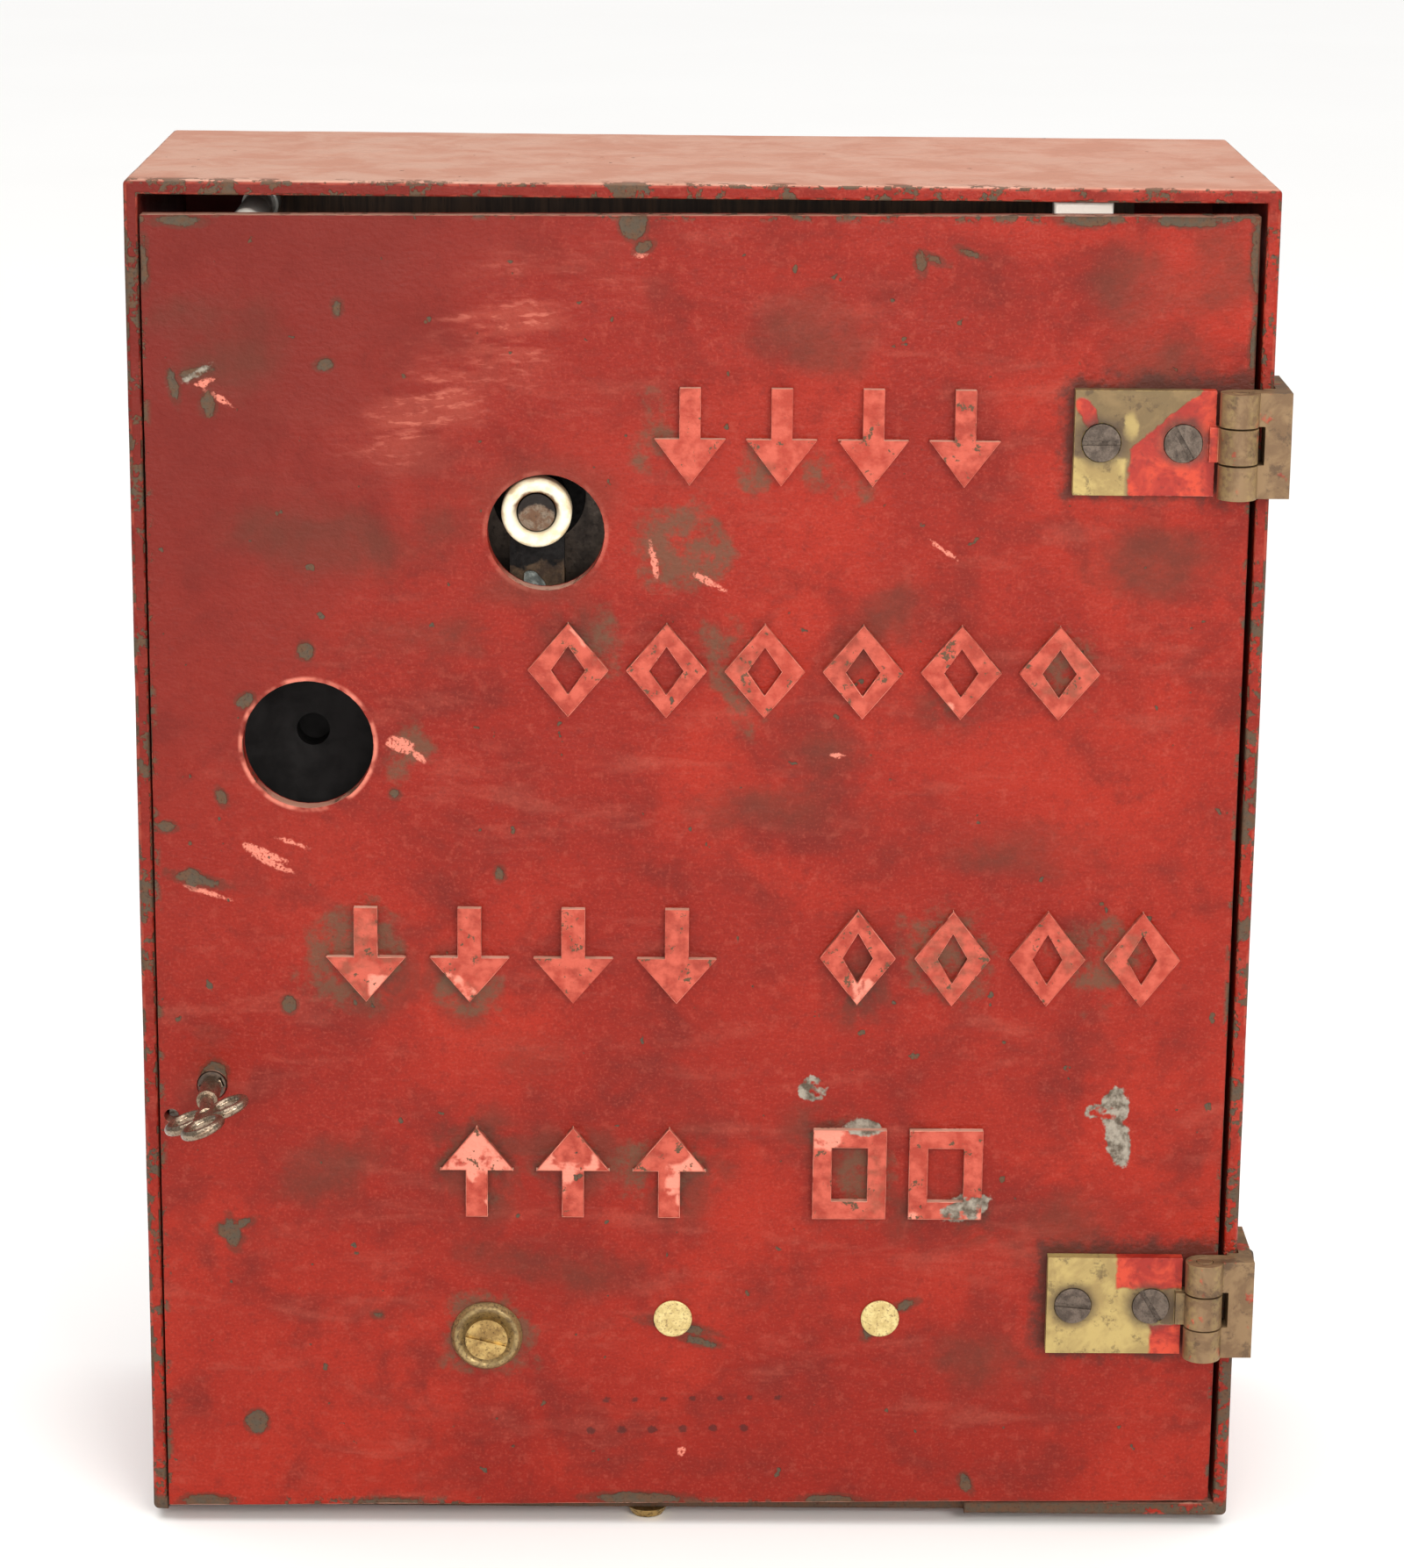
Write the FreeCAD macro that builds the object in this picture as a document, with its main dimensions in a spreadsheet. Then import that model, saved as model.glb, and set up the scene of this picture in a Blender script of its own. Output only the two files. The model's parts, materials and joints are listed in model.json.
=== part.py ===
import FreeCAD, Part
import math
import os
import re
import Sketcher

# Inner case of a street fire alarm box: cast iron case with a hinged door, lock and key,
# spring driven signal movement, pull lever, lightning arrester and terminals.
# Frame: X to the right, Y from the door to the back, Z up. Origin: centre of the back face.

os.makedirs("parts", exist_ok=True)
V = FreeCAD.Vector
doc = FreeCAD.newDocument("fire_alarm_box")
sheet = doc.addObject("Spreadsheet::Sheet", "Sizes")

SIZES = {
    "case_width": 216.0, "case_height": 267.0, "case_depth": 85.0, "wall": 3.0,
    "edge_round": 1.2, "bolt_spread_x": 192.0, "bolt_spread_z": 224.0, "bolt_hole_r": 2.75,
    "door_thick": 4.0, "door_proud": 1.0, "door_left": 104.7, "door_right": 103.9,
    "door_top": 127.75, "door_bottom": 129.35, "door_sag": 1.5, "foot_lap": 1.8, "relief": 1.6,
    "wind_hole_x": 29.2, "wind_hole_z": 67.5, "wind_hole_r": 11.1,
    "pull_hole_x": 74.7, "pull_hole_z": 25.7, "pull_hole_r": 12.5,
    "hinge_x": 100.8, "hinge_y": 89.9, "knuckle_r": 3.8, "hinge_pin_r": 1.6, "hinge_tall": 20.2,
    "hinge_top_z": 86.0, "hinge_low_z": 86.9, "leaf_thick": 2.5, "leaf_reach": 70.0,
    "lock_x": 94.4, "lock_z": 43.1, "plug_r": 4.6, "plug_nose_r": 2.75, "bolt_throw": 5.0, "key_lean": 22.0,
    "board_width": 176.0, "board_height": 250.0, "board_thick": 9.0,
    "plate_width": 128.0, "plate_height": 152.0, "plate_thick": 2.5, "plate_centre_z": 24.0,
    "front_plate_y": 66.0, "back_plate_y": 24.0, "pillar_r": 3.5,
    "arbor_x": 31.0, "arbor_z": 71.0, "arbor_r": 3.0, "barrel_r": 21.5,
    "train_module": 0.7, "wheel_teeth": 72.0, "pinion_teeth": 12.0, "mesh_angle": 50.0,
    "fly_module": 0.6, "second_teeth": 56.0, "fly_teeth": 14.0, "fly_angle": 31.0,
    "code_wheel_r": 16.0, "collar_r": 6.7, "collar_bore_r": 3.8,
    "pivot_x": 36.0, "pivot_z": 14.0, "socket_r": 16.5, "socket_bore_r": 3.2,
    "cable_x": 62.0, "cable_y": 34.0, "cable_r": 6.0,
}
for row, (alias, value) in enumerate(SIZES.items(), start=1):
    sheet.set(f"A{row}", alias)
    sheet.set(f"B{row}", str(value))
    sheet.setAlias(f"B{row}", alias)
doc.recompute()
pieces = []


def bind(thing, prop, value):
    """Give a property a number, or tie it to the sheet with an expression."""
    if isinstance(value, str):
        linked = re.sub(r"[a-z][a-z_]*_[a-z_]+|wall|relief", lambda m: "Sizes." + m.group(0), value)
        thing.setExpression(prop, linked)
    elif not prop.startswith("Constraints"):
        setattr(thing, prop, value)


def place(thing, at, axis="z"):
    turn = {"z": (V(0, 0, 1), 0), "y": (V(1, 0, 0), -90), "x": (V(0, 1, 0), 90)}[axis]
    thing.Placement = FreeCAD.Placement(V(0, 0, 0), FreeCAD.Rotation(*turn))
    thing.Placement.Base = V(*[0 if isinstance(value, str) else value for value in at])
    for letter, value in zip("xyz", at):
        if isinstance(value, str):
            bind(thing, f"Placement.Base.{letter}", value)
    return thing


def block(x, y, z, dx, dy, dz):
    """Box from its low corner and its three sizes."""
    thing = doc.addObject("Part::Box", "block")
    for prop, value in (("Length", dx), ("Width", dy), ("Height", dz)):
        bind(thing, prop, value)
    return place(thing, (x, y, z))


def rod(x, y, z, radius, length, axis="y"):
    thing = doc.addObject("Part::Cylinder", "rod")
    bind(thing, "Radius", radius)
    bind(thing, "Height", length)
    return place(thing, (x, y, z), axis)


def cone(x, y, z, first_r, last_r, length, axis="y"):
    thing = doc.addObject("Part::Cone", "cone")
    bind(thing, "Radius1", first_r)
    bind(thing, "Radius2", last_r)
    bind(thing, "Height", length)
    return place(thing, (x, y, z), axis)


def ball(x, y, z, radius):
    thing = doc.addObject("Part::Sphere", "ball")
    bind(thing, "Radius", radius)
    return place(thing, (x, y, z))


def fuse(things):
    if len(things) == 1:
        return things[0]
    joined = doc.addObject("Part::MultiFuse", "joined")
    joined.Shapes = things
    return joined


def cut(things, tools):
    carved = doc.addObject("Part::Cut", "carved")
    carved.Base = fuse(things)
    carved.Tool = fuse(tools)
    return carved


def soften(thing, radius, wanted=lambda edge: True):
    """Round the edges picked by the test."""
    doc.recompute()
    rounded = doc.addObject("Part::Fillet", "rounded")
    rounded.Base = thing
    picked = [n for n, edge in enumerate(thing.Shape.Edges, start=1) if wanted(edge)]
    rounded.Edges = [(n, radius, radius) for n in picked]
    return rounded


def keep(label, things):
    """Finish a named piece; several things stay separate solids."""
    if len(things) > 1:
        thing = doc.addObject("Part::Compound", "set")
        thing.Links = things
    else:
        thing = things[0]
    thing.Label = label
    pieces.append(thing)
    return thing


def origin_plane(body, role):
    return [item for item in body.Origin.OriginFeatures if item.Role == role][0]


def drawing(body, loops, circles=()):
    """Sketch in X and Z of closed loops of points and of circles."""
    sketch = body.newObject("Sketcher::SketchObject", "drawing")
    sketch.AttachmentSupport = [(origin_plane(body, "XZ_Plane"), "")]
    sketch.MapMode = "FlatFace"
    for loop in loops:
        first = sketch.GeometryCount
        for here, after in zip(loop, loop[1:] + loop[:1]):
            sketch.addGeometry(Part.LineSegment(V(here[0], here[1], 0), V(after[0], after[1], 0)))
        for n in range(len(loop)):
            after = first + (n + 1) % len(loop)
            sketch.addConstraint(Sketcher.Constraint("Coincident", first + n, 2, after, 1))
    for x, z, radius in circles:
        edge = sketch.addGeometry(Part.Circle(V(size(x), size(z), 0), V(0, 0, 1), size(radius)))
        for kind, value in (("DistanceX", x), ("DistanceY", z)):
            if size(value):
                mark = sketch.addConstraint(Sketcher.Constraint(kind, -1, 1, edge, 3, size(value)))
                bind(sketch, f"Constraints[{mark}]", value)
        mark = sketch.addConstraint(Sketcher.Constraint("Radius", edge, size(radius)))
        bind(sketch, f"Constraints[{mark}]", radius)
    return sketch


def size(value):
    """Number of a value that is a number, a sheet name, or a sheet name with a minus sign."""
    if isinstance(value, str):
        return -SIZES[value[1:]] if value.startswith("-") else SIZES[value]
    return float(value)


def padded(body, sketch, thick, backwards=True):
    pad = body.newObject("PartDesign::Pad", "pad")
    pad.Profile = sketch
    bind(pad, "Length", thick)
    pad.Reversed = backwards
    return pad


def flat(loops, circles, at, thick):
    """Flat plate parallel to the door, drawn in X and Z about the point given."""
    body = doc.addObject("PartDesign::Body", "flat")
    padded(body, drawing(body, loops, circles), thick)
    return place(body, at)


def toothed(teeth, module, thick, at, bore_r, fullness=0.42, turn=0.0):
    """Spur wheel with straight sided teeth, its first tooth on +X turned by an angle."""
    body = doc.addObject("PartDesign::Body", "wheel")
    pitch_r = teeth * module / 2
    root_r = pitch_r - 1.1 * module
    tip_r = pitch_r + 0.75 * module
    foot = fullness * math.pi * module * 0.62
    padded(body, drawing(body, [], [(0, 0, root_r), (0, 0, bore_r)]), thick)
    tooth = [(root_r - 0.25, -foot), (tip_r, -foot * 0.4), (tip_r, foot * 0.4), (root_r - 0.25, foot)]
    single = padded(body, drawing(body, [tooth]), thick)
    ring = body.newObject("PartDesign::PolarPattern", "ring")
    ring.Originals = [single]
    ring.Axis = (origin_plane(body, "Y_Axis"), [""])
    ring.Angle = 360
    ring.Occurrences = int(teeth)
    body.Tip = ring
    body.Placement = FreeCAD.Placement(V(*at), FreeCAD.Rotation(V(0, 1, 0), -turn))
    return body


def screw(x, y, z, head_r, head_high, shank_r, length, axis="y", lean=0.0):
    """Slotted screw; its head starts at the point and the shank follows along +axis."""
    head = rod(x, y, z, head_r, head_high, axis)
    step = {"y": (0, head_high, 0), "x": (head_high, 0, 0), "z": (0, 0, head_high)}[axis]
    shank = rod(x + step[0], y + step[1], z + step[2], shank_r, length, axis)
    slot = block(-head_r * 1.2, -0.1, -0.45, head_r * 2.4, 0.1 + head_high * 0.45, 0.9)
    turn = FreeCAD.Rotation(V(0, 1, 0), lean)
    slot.Placement = FreeCAD.Placement(V(x, y, z), turn, V(0, 0, 0))
    slot.Placement.Base = V(x, y, z) + turn.multVec(V(-head_r * 1.2, -0.1, -0.45))
    return cut([head, shank], [slot])


def side_screw(x, y, z, head_r, head_high, shank_r, length):
    """Round headed screw driven in along -X."""
    head = cone(x - head_high, y, z, head_r, head_r * 0.7, head_high, "x")
    shank = rod(x - head_high - length, y, z, shank_r, length, "x")
    slot = block(x - head_high * 0.45, y - head_r * 1.2, z - 0.4, head_high, head_r * 2.4, 0.8)
    return cut([head, shank], [slot])


# ---- case -------------------------------------------------------------------------------------
outer = block("-case_width / 2", "-case_depth", "-case_height / 2", "case_width", "case_depth", "case_height")
outer = soften(outer, SIZES["edge_round"])
room = block("-case_width / 2 + wall", "-case_depth - 1", "-case_height / 2 + wall",
             "case_width - 2 * wall", "case_depth + 1 - wall", "case_height - 2 * wall")
wall_holes = [rod(f"{sx} * bolt_spread_x / 2", -4, f"{sz} * bolt_spread_z / 2", "bolt_hole_r", 5)
              for sx in (-1, 1) for sz in (-1, 1)]
cable_hole = rod("cable_x", "-cable_y", "-case_height / 2 - 1", "cable_r + 2.5", 5, "z")
bolt_slot = block(-109, -77.4, "-lock_z - 5.8", 5, 4.9, 11.6)
# the door's foot laps over the case's floor, whose front edge is set back there
foot_gap = block("-case_width / 2 + wall", "-case_depth - 0.1", "-case_height / 2 - 0.1", 160,
                 "door_thick - door_proud + 0.4", "wall + 0.2")
FLOOR_SCREWS = ((-8.7, -79.5), (-84.0, -12.0), (84.0, -12.0))
floor_holes = [rod(x, y, -134, 1.55, 4, "z") for x, y in FLOOR_SCREWS]
SIDE_SCREWS = [(-77.5, mid + step) for mid in (86.0, -86.9) for step in (-5.2, 5.2)]
side_holes = [rod(104, y, z, 1.65, 5, "x") for y, z in SIDE_SCREWS]
shell = cut([outer], [room])


def on_inner_rim(edge):
    at = edge.CenterOfMass
    return abs(at.y + 85.0) < 0.01 and abs(at.x) < 105.01 and abs(at.z) < 130.51


shell = soften(shell, 0.7, on_inner_rim)
keep("case_shell", [cut([shell], [cable_hole, bolt_slot, foot_gap] + wall_holes + floor_holes + side_holes)])

BOARD_SCREWS = [(sx * 76.0, sz * 70.0) for sx in (-1, 1) for sz in (-1, 1)]
board = block("-board_width / 2", "-wall - board_thick", "-board_height / 2", "board_width",
              "board_thick", "board_height")
board_holes = [rod(x, -13, z, 1.85, 11) for x, z in BOARD_SCREWS + [(-57.0, -108.0), (57.0, -108.0)]]
FEET = [(sx * 56.0, z) for sx in (-1, 1) for z in (-44.0, 92.0)]
foot_holes = [rod(x, -12.5, z, 1.55, 6.5) for x, z in FEET]
keep("mounting_board", [cut([board], board_holes + foot_holes)])
BLOCK_SCREWS = [(-57.0, -108.0), (57.0, -108.0)]
keep("board_screws", [screw(x, -13.8, z, 3.6, 1.8, 1.8, 8.9) for x, z in BOARD_SCREWS]
     + [screw(x, -27.6, z, 3.3, 1.6, 1.8, 22.8) for x, z in BLOCK_SCREWS])
heads = [cone(x, y, -135.3, 3.2, 4.25, 1.8, "z") for x, y in FLOOR_SCREWS]
shanks = [rod(x, y, -133.5, 1.5, 5.5, "z") for x, y in FLOOR_SCREWS]
keep("floor_screws", [fuse([head, shank]) for head, shank in zip(heads, shanks)])
bushing = fuse([rod("cable_x", "-cable_y", -134.6, "cable_r + 2.4", 6.6, "z"),
                rod("cable_x", "-cable_y", -130.5, "cable_r + 5", 2.5, "z")])
keep("cable_bushing", [cut([bushing], [rod("cable_x", "-cable_y", -136, "cable_r", 10, "z")])])

# ---- hinges -----------------------------------------------------------------------------------
AXLE = ("hinge_x", "-hinge_y")
for level, mid, mid_text in (("upper", 86.0, "hinge_top_z"), ("lower", -86.9, "-hinge_low_z")):
    low = f"{mid_text} - hinge_tall / 2"
    bore = rod(*AXLE, f"{low} - 1", "hinge_pin_r + 0.05", "hinge_tall + 2", "z")
    knuckles = [rod(*AXLE, low, "knuckle_r", 6.5, "z"),
                rod(*AXLE, f"{mid_text} + hinge_tall / 2 - 6.5", "knuckle_r", 6.5, "z")]
    webs = [block("hinge_x", -90.6, low, 5.3, 4.4, 6.5),
            block("hinge_x", -90.6, f"{mid_text} + hinge_tall / 2 - 6.5", 5.3, 4.4, 6.5)]
    strap = [block(105.6, -90.6, low, 5.1, 5.6, "hinge_tall"),
             block(108.0, -90.6, low, 2.7, 20.6, "hinge_tall")]
    strap_holes = [rod(107, y, z, 1.65, 5, "x") for y, z in SIDE_SCREWS]
    keep(f"case_hinge_{level}", [cut(knuckles + webs + strap, [bore] + strap_holes)])
    face = [block("leaf_reach", "-case_depth - door_proud - leaf_thick", low,
                  "hinge_x - 4.1 - leaf_reach", "leaf_thick", "hinge_tall"),
            rod(*AXLE, f"{mid_text} - 3.4", "knuckle_r", 6.8, "z"),
            block("hinge_x - 5.5", -89.9, f"{mid_text} - 3.4", 5.5, 3.7, 6.8)]
    bore = rod(*AXLE, f"{low} - 1", "hinge_pin_r + 0.05", "hinge_tall + 2", "z")
    leaf_holes = [rod(x, -90, mid, 1.65, 5) for x in (75.2, 90.6)]
    leaf_sinks = [rod(x, -90, mid, 3.65, 2.4) for x in (75.2, 90.6)]
    keep(f"door_hinge_{level}", [cut(face, [bore] + leaf_holes + leaf_sinks)])
keep("hinge_pins", [rod(*AXLE, low, "hinge_pin_r", "hinge_tall", "z")
                    for low in ("hinge_top_z - hinge_tall / 2", "-hinge_low_z - hinge_tall / 2")])
keep("case_hinge_screws", [side_screw(112.0, y, z, 3.2, 1.3, 1.6, 6.2) for y, z in SIDE_SCREWS])
LEAF_SCREWS = [(75.2, 86.0, 0), (90.6, 86.0, 60), (75.2, -86.9, 5), (90.6, -86.9, 58)]
keep("door_hinge_screws", [screw(x, -88.8, z, 3.6, 1.2, 1.6, 6.4, lean=lean) for x, z, lean in LEAF_SCREWS])

# ---- door -------------------------------------------------------------------------------------


def arrow(x, z, wide, tall, way):
    """Outline of an upright arrow; way is 1 for up and -1 for down."""
    stem = wide * 0.15
    neck = z + way * tall * 0.02
    return [(x - stem, z - way * tall / 2), (x + stem, z - way * tall / 2), (x + stem, neck),
            (x + wide / 2, neck), (x, z + way * tall / 2), (x - wide / 2, neck), (x - stem, neck)]


def diamond(x, z, wide, tall):
    return [(x - wide / 2, z), (x, z - tall / 2), (x + wide / 2, z), (x, z + tall / 2)]


def square(x, z, wide, tall):
    return [(x - wide / 2, z - tall / 2), (x + wide / 2, z - tall / 2), (x + wide / 2, z + tall / 2),
            (x - wide / 2, z + tall / 2)]


def ring_of(shape, x, z, wide, tall, stroke):
    return [shape(x, z, wide, tall), shape(x, z, wide - stroke, tall - stroke)]


def row_of(count, left, right, fill=0.8):
    """Middles and width of equal marks that fill a row from left to right."""
    pitch = (right - left) / (count - 1 + fill)
    return [left + pitch * (fill / 2 + n) for n in range(count)], pitch * fill


marks = []
for x in row_of(4, -9.0, 56.6)[0]:
    marks.append(arrow(x, 86.3, 13.5, 18.6, -1))
for x in row_of(6, -32.4, 76.3)[0]:
    marks += ring_of(diamond, x, 41.1, 15.5, 18.4, 9.0)
for x in row_of(4, -72.0, 4.3)[0]:
    marks.append(arrow(x, -15.8, 15.5, 19.1, -1))
for x in row_of(4, 24.0, 93.9)[0]:
    marks += ring_of(diamond, x, -15.8, 14.8, 19.1, 9.0)
for x in row_of(3, -50.2, 2.7)[0]:
    marks.append(arrow(x, -60.2, 14.5, 18.5, 1))
for x in row_of(2, 23.0, 57.0)[0]:
    marks += ring_of(square, x, -60.2, 14.5, 18.5, 7.5)

door = doc.addObject("PartDesign::Body", "door")
sketch = door.newObject("Sketcher::SketchObject", "door_outline")
sketch.AttachmentSupport = [(origin_plane(door, "XZ_Plane"), "")]
sketch.MapMode = "FlatFace"
corners = (("-door_left", "-door_bottom - door_sag / 2 - foot_lap", -104.7, -131.9),
           ("door_right", "-door_bottom + door_sag / 2 - foot_lap / 2", 103.9, -129.5),
           ("door_right", "door_top + door_sag / 2", 103.9, 128.5),
           ("-door_left", "door_top - door_sag / 2", -104.7, 127.0))
for here, after in zip(corners, corners[1:] + corners[:1]):
    sketch.addGeometry(Part.LineSegment(V(here[2], here[3], 0), V(after[2], after[3], 0)))
for n, (x_text, z_text, x, z) in enumerate(corners):
    sketch.addConstraint(Sketcher.Constraint("Coincident", n, 2, (n + 1) % 4, 1))
for n, (x_text, z_text, x, z) in enumerate(corners):
    mark = sketch.addConstraint(Sketcher.Constraint("DistanceX", -1, 1, n, 1, x))
    bind(sketch, f"Constraints[{mark}]", x_text)
    mark = sketch.addConstraint(Sketcher.Constraint("DistanceY", -1, 1, n, 1, z))
    bind(sketch, f"Constraints[{mark}]", z_text)
padded(door, sketch, "door_thick")
padded(door, drawing(door, marks), "relief", backwards=False)
SMALL_HOLES = [(-102.4, -49.5, 1.4), (-40.8, -95.0, 2.05), (-3.9, -91.1, 1.55), (37.2, -90.8, 1.55)]
SMALL_HOLES += [(x, z, 1.65) for x, z, lean in LEAF_SCREWS]
LOCK_SCREWS = [(-82.0, -32.0), (-82.0, -54.0)]
BRACKET_SCREW = (-40.8, -95.0)
RIVETS = [(-3.9, -91.1), (37.2, -90.8)]
holes = drawing(door, [], [("-wind_hole_x", "wind_hole_z", "wind_hole_r"),
                           ("-pull_hole_x", "pull_hole_z", "pull_hole_r"),
                           ("-lock_x", "-lock_z", SIZES["plug_nose_r"] + 0.15)] + SMALL_HOLES)
pocket = door.newObject("PartDesign::Pocket", "holes")
pocket.Profile = holes
pocket.Type = 1
door.Tip = pocket
place(door, (0, "-case_depth - door_proud", 0))
keep("door_panel", [door])

washer = cut([cone(-40.8, -87.6, -95.0, 6.3, 7.2, 1.6)], [cone(-40.8, -87.7, -95.0, 5.8, 4.3, 1.0),
                                                       rod(-40.8, -88, -95.0, 2.05, 3)])
keep("dished_washer", [washer])
keep("bracket_screw", [screw(-40.8, -88.5, -95.0, 4.2, 1.8, 2.0, 7.4, lean=14)])
keep("bracket_rivets", [fuse([rod(x, -86.5, z, 3.8, 0.5), rod(x, -86, z, 1.5, 6.0)]) for x, z in RIVETS])
bracket = cut([block(-56, -82, -101, 104, 1.4, 18)], [rod(-40.8, -83, -95.0, 2.05, 4)]
              + [rod(x, -83, z, 1.55, 4) for x, z in RIVETS])
keep("inner_bracket", [bracket])

# ---- lock and key -----------------------------------------------------------------------------
lock_body = block(-103.3, -82, "-lock_z - 15", 25.6, 11, 30)
plug_room = rod("-lock_x", -83, "-lock_z", "plug_r + 0.15", 6.3)
bolt_room = block(-104, -77.0, "-lock_z - 5.4", 24, 4.2, 10.8)
lock_body = cut([lock_body], [plug_room, bolt_room] + [rod(x, -83, z, 1.55, 13) for x, z in LOCK_SCREWS])
keep("lock_case", [lock_body])
keep("lock_screws", [fuse([rod(x, -71, z, 2.8, 1.6), rod(x, -81.9, z, 1.5, 10.9)]) for x, z in LOCK_SCREWS])


def leaned(thing):
    """Put a thing drawn about the key axis in place, turned with the key."""
    thing.Placement = FreeCAD.Placement(V(-SIZES["lock_x"], 0, -SIZES["lock_z"]),
                                        FreeCAD.Rotation(V(0, 1, 0), -SIZES["key_lean"]))
    return thing


plug = [rod(0, -86.2, 0, "plug_nose_r", 5.0), rod(0, -81.9, 0, "plug_r", 4.8), rod(2.6, -78, 0, 1.0, 4.6)]
keep("lock_plug", [leaned(cut(plug, [block(-2.3, -87, -0.95, 4.6, 9.0, 1.9)]))])
slide = block(-102.6, -76.8, "-lock_z - 5.2", 18.6, 3.8, 10.4)
window = block("-lock_x - 1.0", -78, "-lock_z - 4.0", 8.8, 6, 7.6)
keep("lock_bolt", [cut([slide], [window])])


def loop(x, y):
    thing = doc.addObject("Part::Torus", "loop")
    thing.Radius1 = 3.5
    thing.Radius2 = 0.95
    return place(thing, (x, y, 0))


BARREL_END = V(0, -95.5, 0)
BOW_X, BOW_Y = 1.0, -105.0
bow = [loop(BOW_X - 4.2, BOW_Y), loop(BOW_X + 4.2, BOW_Y), loop(BOW_X, BOW_Y - 7.2)]
hub = block(BOW_X - 2.0, BOW_Y - 4.4, -0.9, 4.0, 6.0, 1.8)
shank = rod(0, 0, 0, 1.4, 1)
bent = V(BOW_X, BOW_Y, 0) - BARREL_END
shank.Height = bent.Length
shank.Placement = FreeCAD.Placement(BARREL_END, FreeCAD.Rotation(V(0, 0, 1), bent))
shaft = [shank, rod(0, BARREL_END.y, 0, 2.05, 9.1), block(-2.1, -87, -0.75, 4.2, 8.6, 1.5)]
keep("door_key", [leaned(fuse(bow + [hub] + shaft))])

# ---- movement frame ---------------------------------------------------------------------------
AX, AZ = -SIZES["arbor_x"], SIZES["arbor_z"]
reach = SIZES["train_module"] * (SIZES["wheel_teeth"] + SIZES["pinion_teeth"]) / 2
slant = math.radians(SIZES["mesh_angle"])
BX, BZ = AX + reach * math.cos(slant), AZ - reach * math.sin(slant)
fly_reach = SIZES["fly_module"] * (SIZES["second_teeth"] + SIZES["fly_teeth"]) / 2
fly_slant = math.radians(SIZES["fly_angle"])
CX, CZ = BX + fly_reach * math.cos(fly_slant), BZ - fly_reach * math.sin(fly_slant)
PX, PZ = -SIZES["pivot_x"], SIZES["pivot_z"]
CLICK = (-49.0, 80.5)
CONTACT_SCREWS = [(30.0, 62.0), (30.0, 78.0)]

front = block("-plate_width / 2", "-front_plate_y", "plate_centre_z - plate_height / 2", "plate_width",
              "plate_thick", "plate_height")
front_holes = [rod(x, -67, z, 2.05, 5) for x, z in FEET]
front_holes += [rod(AX, -67, AZ, "arbor_r + 0.1", 5), rod(BX, -67, BZ, 1.15, 5), rod(CX, -67, CZ, 1.15, 5)]
front_holes += [rod(PX, -67, PZ, 2.05, 5), rod(CLICK[0], -67, CLICK[1], 1.55, 5)]
front_holes += [rod(x, -67, z, 1.55, 5) for x, z in CONTACT_SCREWS] + [rod(PX + 30.0, -67, -24.0, 1.25, 5)]
keep("movement_front_plate", [cut([front], front_holes)])
back = block("-plate_width / 2", "-back_plate_y", "plate_centre_z - plate_height / 2", "plate_width",
             "plate_thick", "plate_height")
back_holes = [rod(x, -25, z, 1.55, 5) for x, z in FEET]
back_holes += [rod(AX, -25, AZ, 2.1, 5), rod(BX, -25, BZ, 1.15, 5), rod(CX, -25, CZ, 1.15, 5)]
keep("movement_back_plate", [cut([back], back_holes)])
pillars = []
for x, z in FEET:
    body = fuse([rod(x, -63.5, z, "pillar_r", 39.5), rod(x, -67.0, z, 2.0, 3.5), rod(x, -24, z, 1.5, 17.5)])
    pillars.append(body)
keep("movement_pillars", pillars)
keep("movement_feet", [cut([rod(x, -21.5, z, 5.0, 9.5)], [rod(x, -22, z, 1.55, 12)]) for x, z in FEET])
nuts = []
for x, z in FEET:
    prism = doc.addObject("Part::Prism", "nut")
    prism.Polygon = 6
    prism.Circumradius = 4.4
    prism.Height = 2.6
    nuts.append(cut([place(prism, (x, -68.6, z), "y")], [rod(x, -69, z, 2.05, 4)]))
keep("movement_nuts", nuts)

# ---- winding, barrel and train ----------------------------------------------------------------
flange = fuse([rod(AX, -67.6, AZ, 9.0, 1.6), rod(AX, -80.6, AZ, 5.4, 13),
               block(AX - 5.2, -80.2, AZ - 18, 10.4, 3.6, 18),
               block(AX - 5.2, -80.2, AZ - 18, 10.4, 14.2, 3.6)])
keep("guide_sleeve", [cut([flange], [rod(AX, -81, AZ, "collar_bore_r", 16)])])
collar = cut([rod(AX, -85.2, AZ, "collar_r", 4.6)], [rod(AX, -86, AZ, "collar_bore_r", 6)])
collar = soften(collar, 1.3, lambda e: isinstance(e.Curve, Part.Circle) and e.CenterOfMass.y < -83)
keep("guide_collar", [collar])
square_end = block(AX - 2.0, -77.5, AZ - 2.0, 4.0, 8.5, 4.0)
keep("winding_arbor", [fuse([square_end, rod(AX, -84.2, AZ, 3.55, 6.8),
                             rod(AX, -69.5, AZ, "arbor_r", 35.5), rod(AX, -34, AZ, 2.0, 12.6)])])

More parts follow.
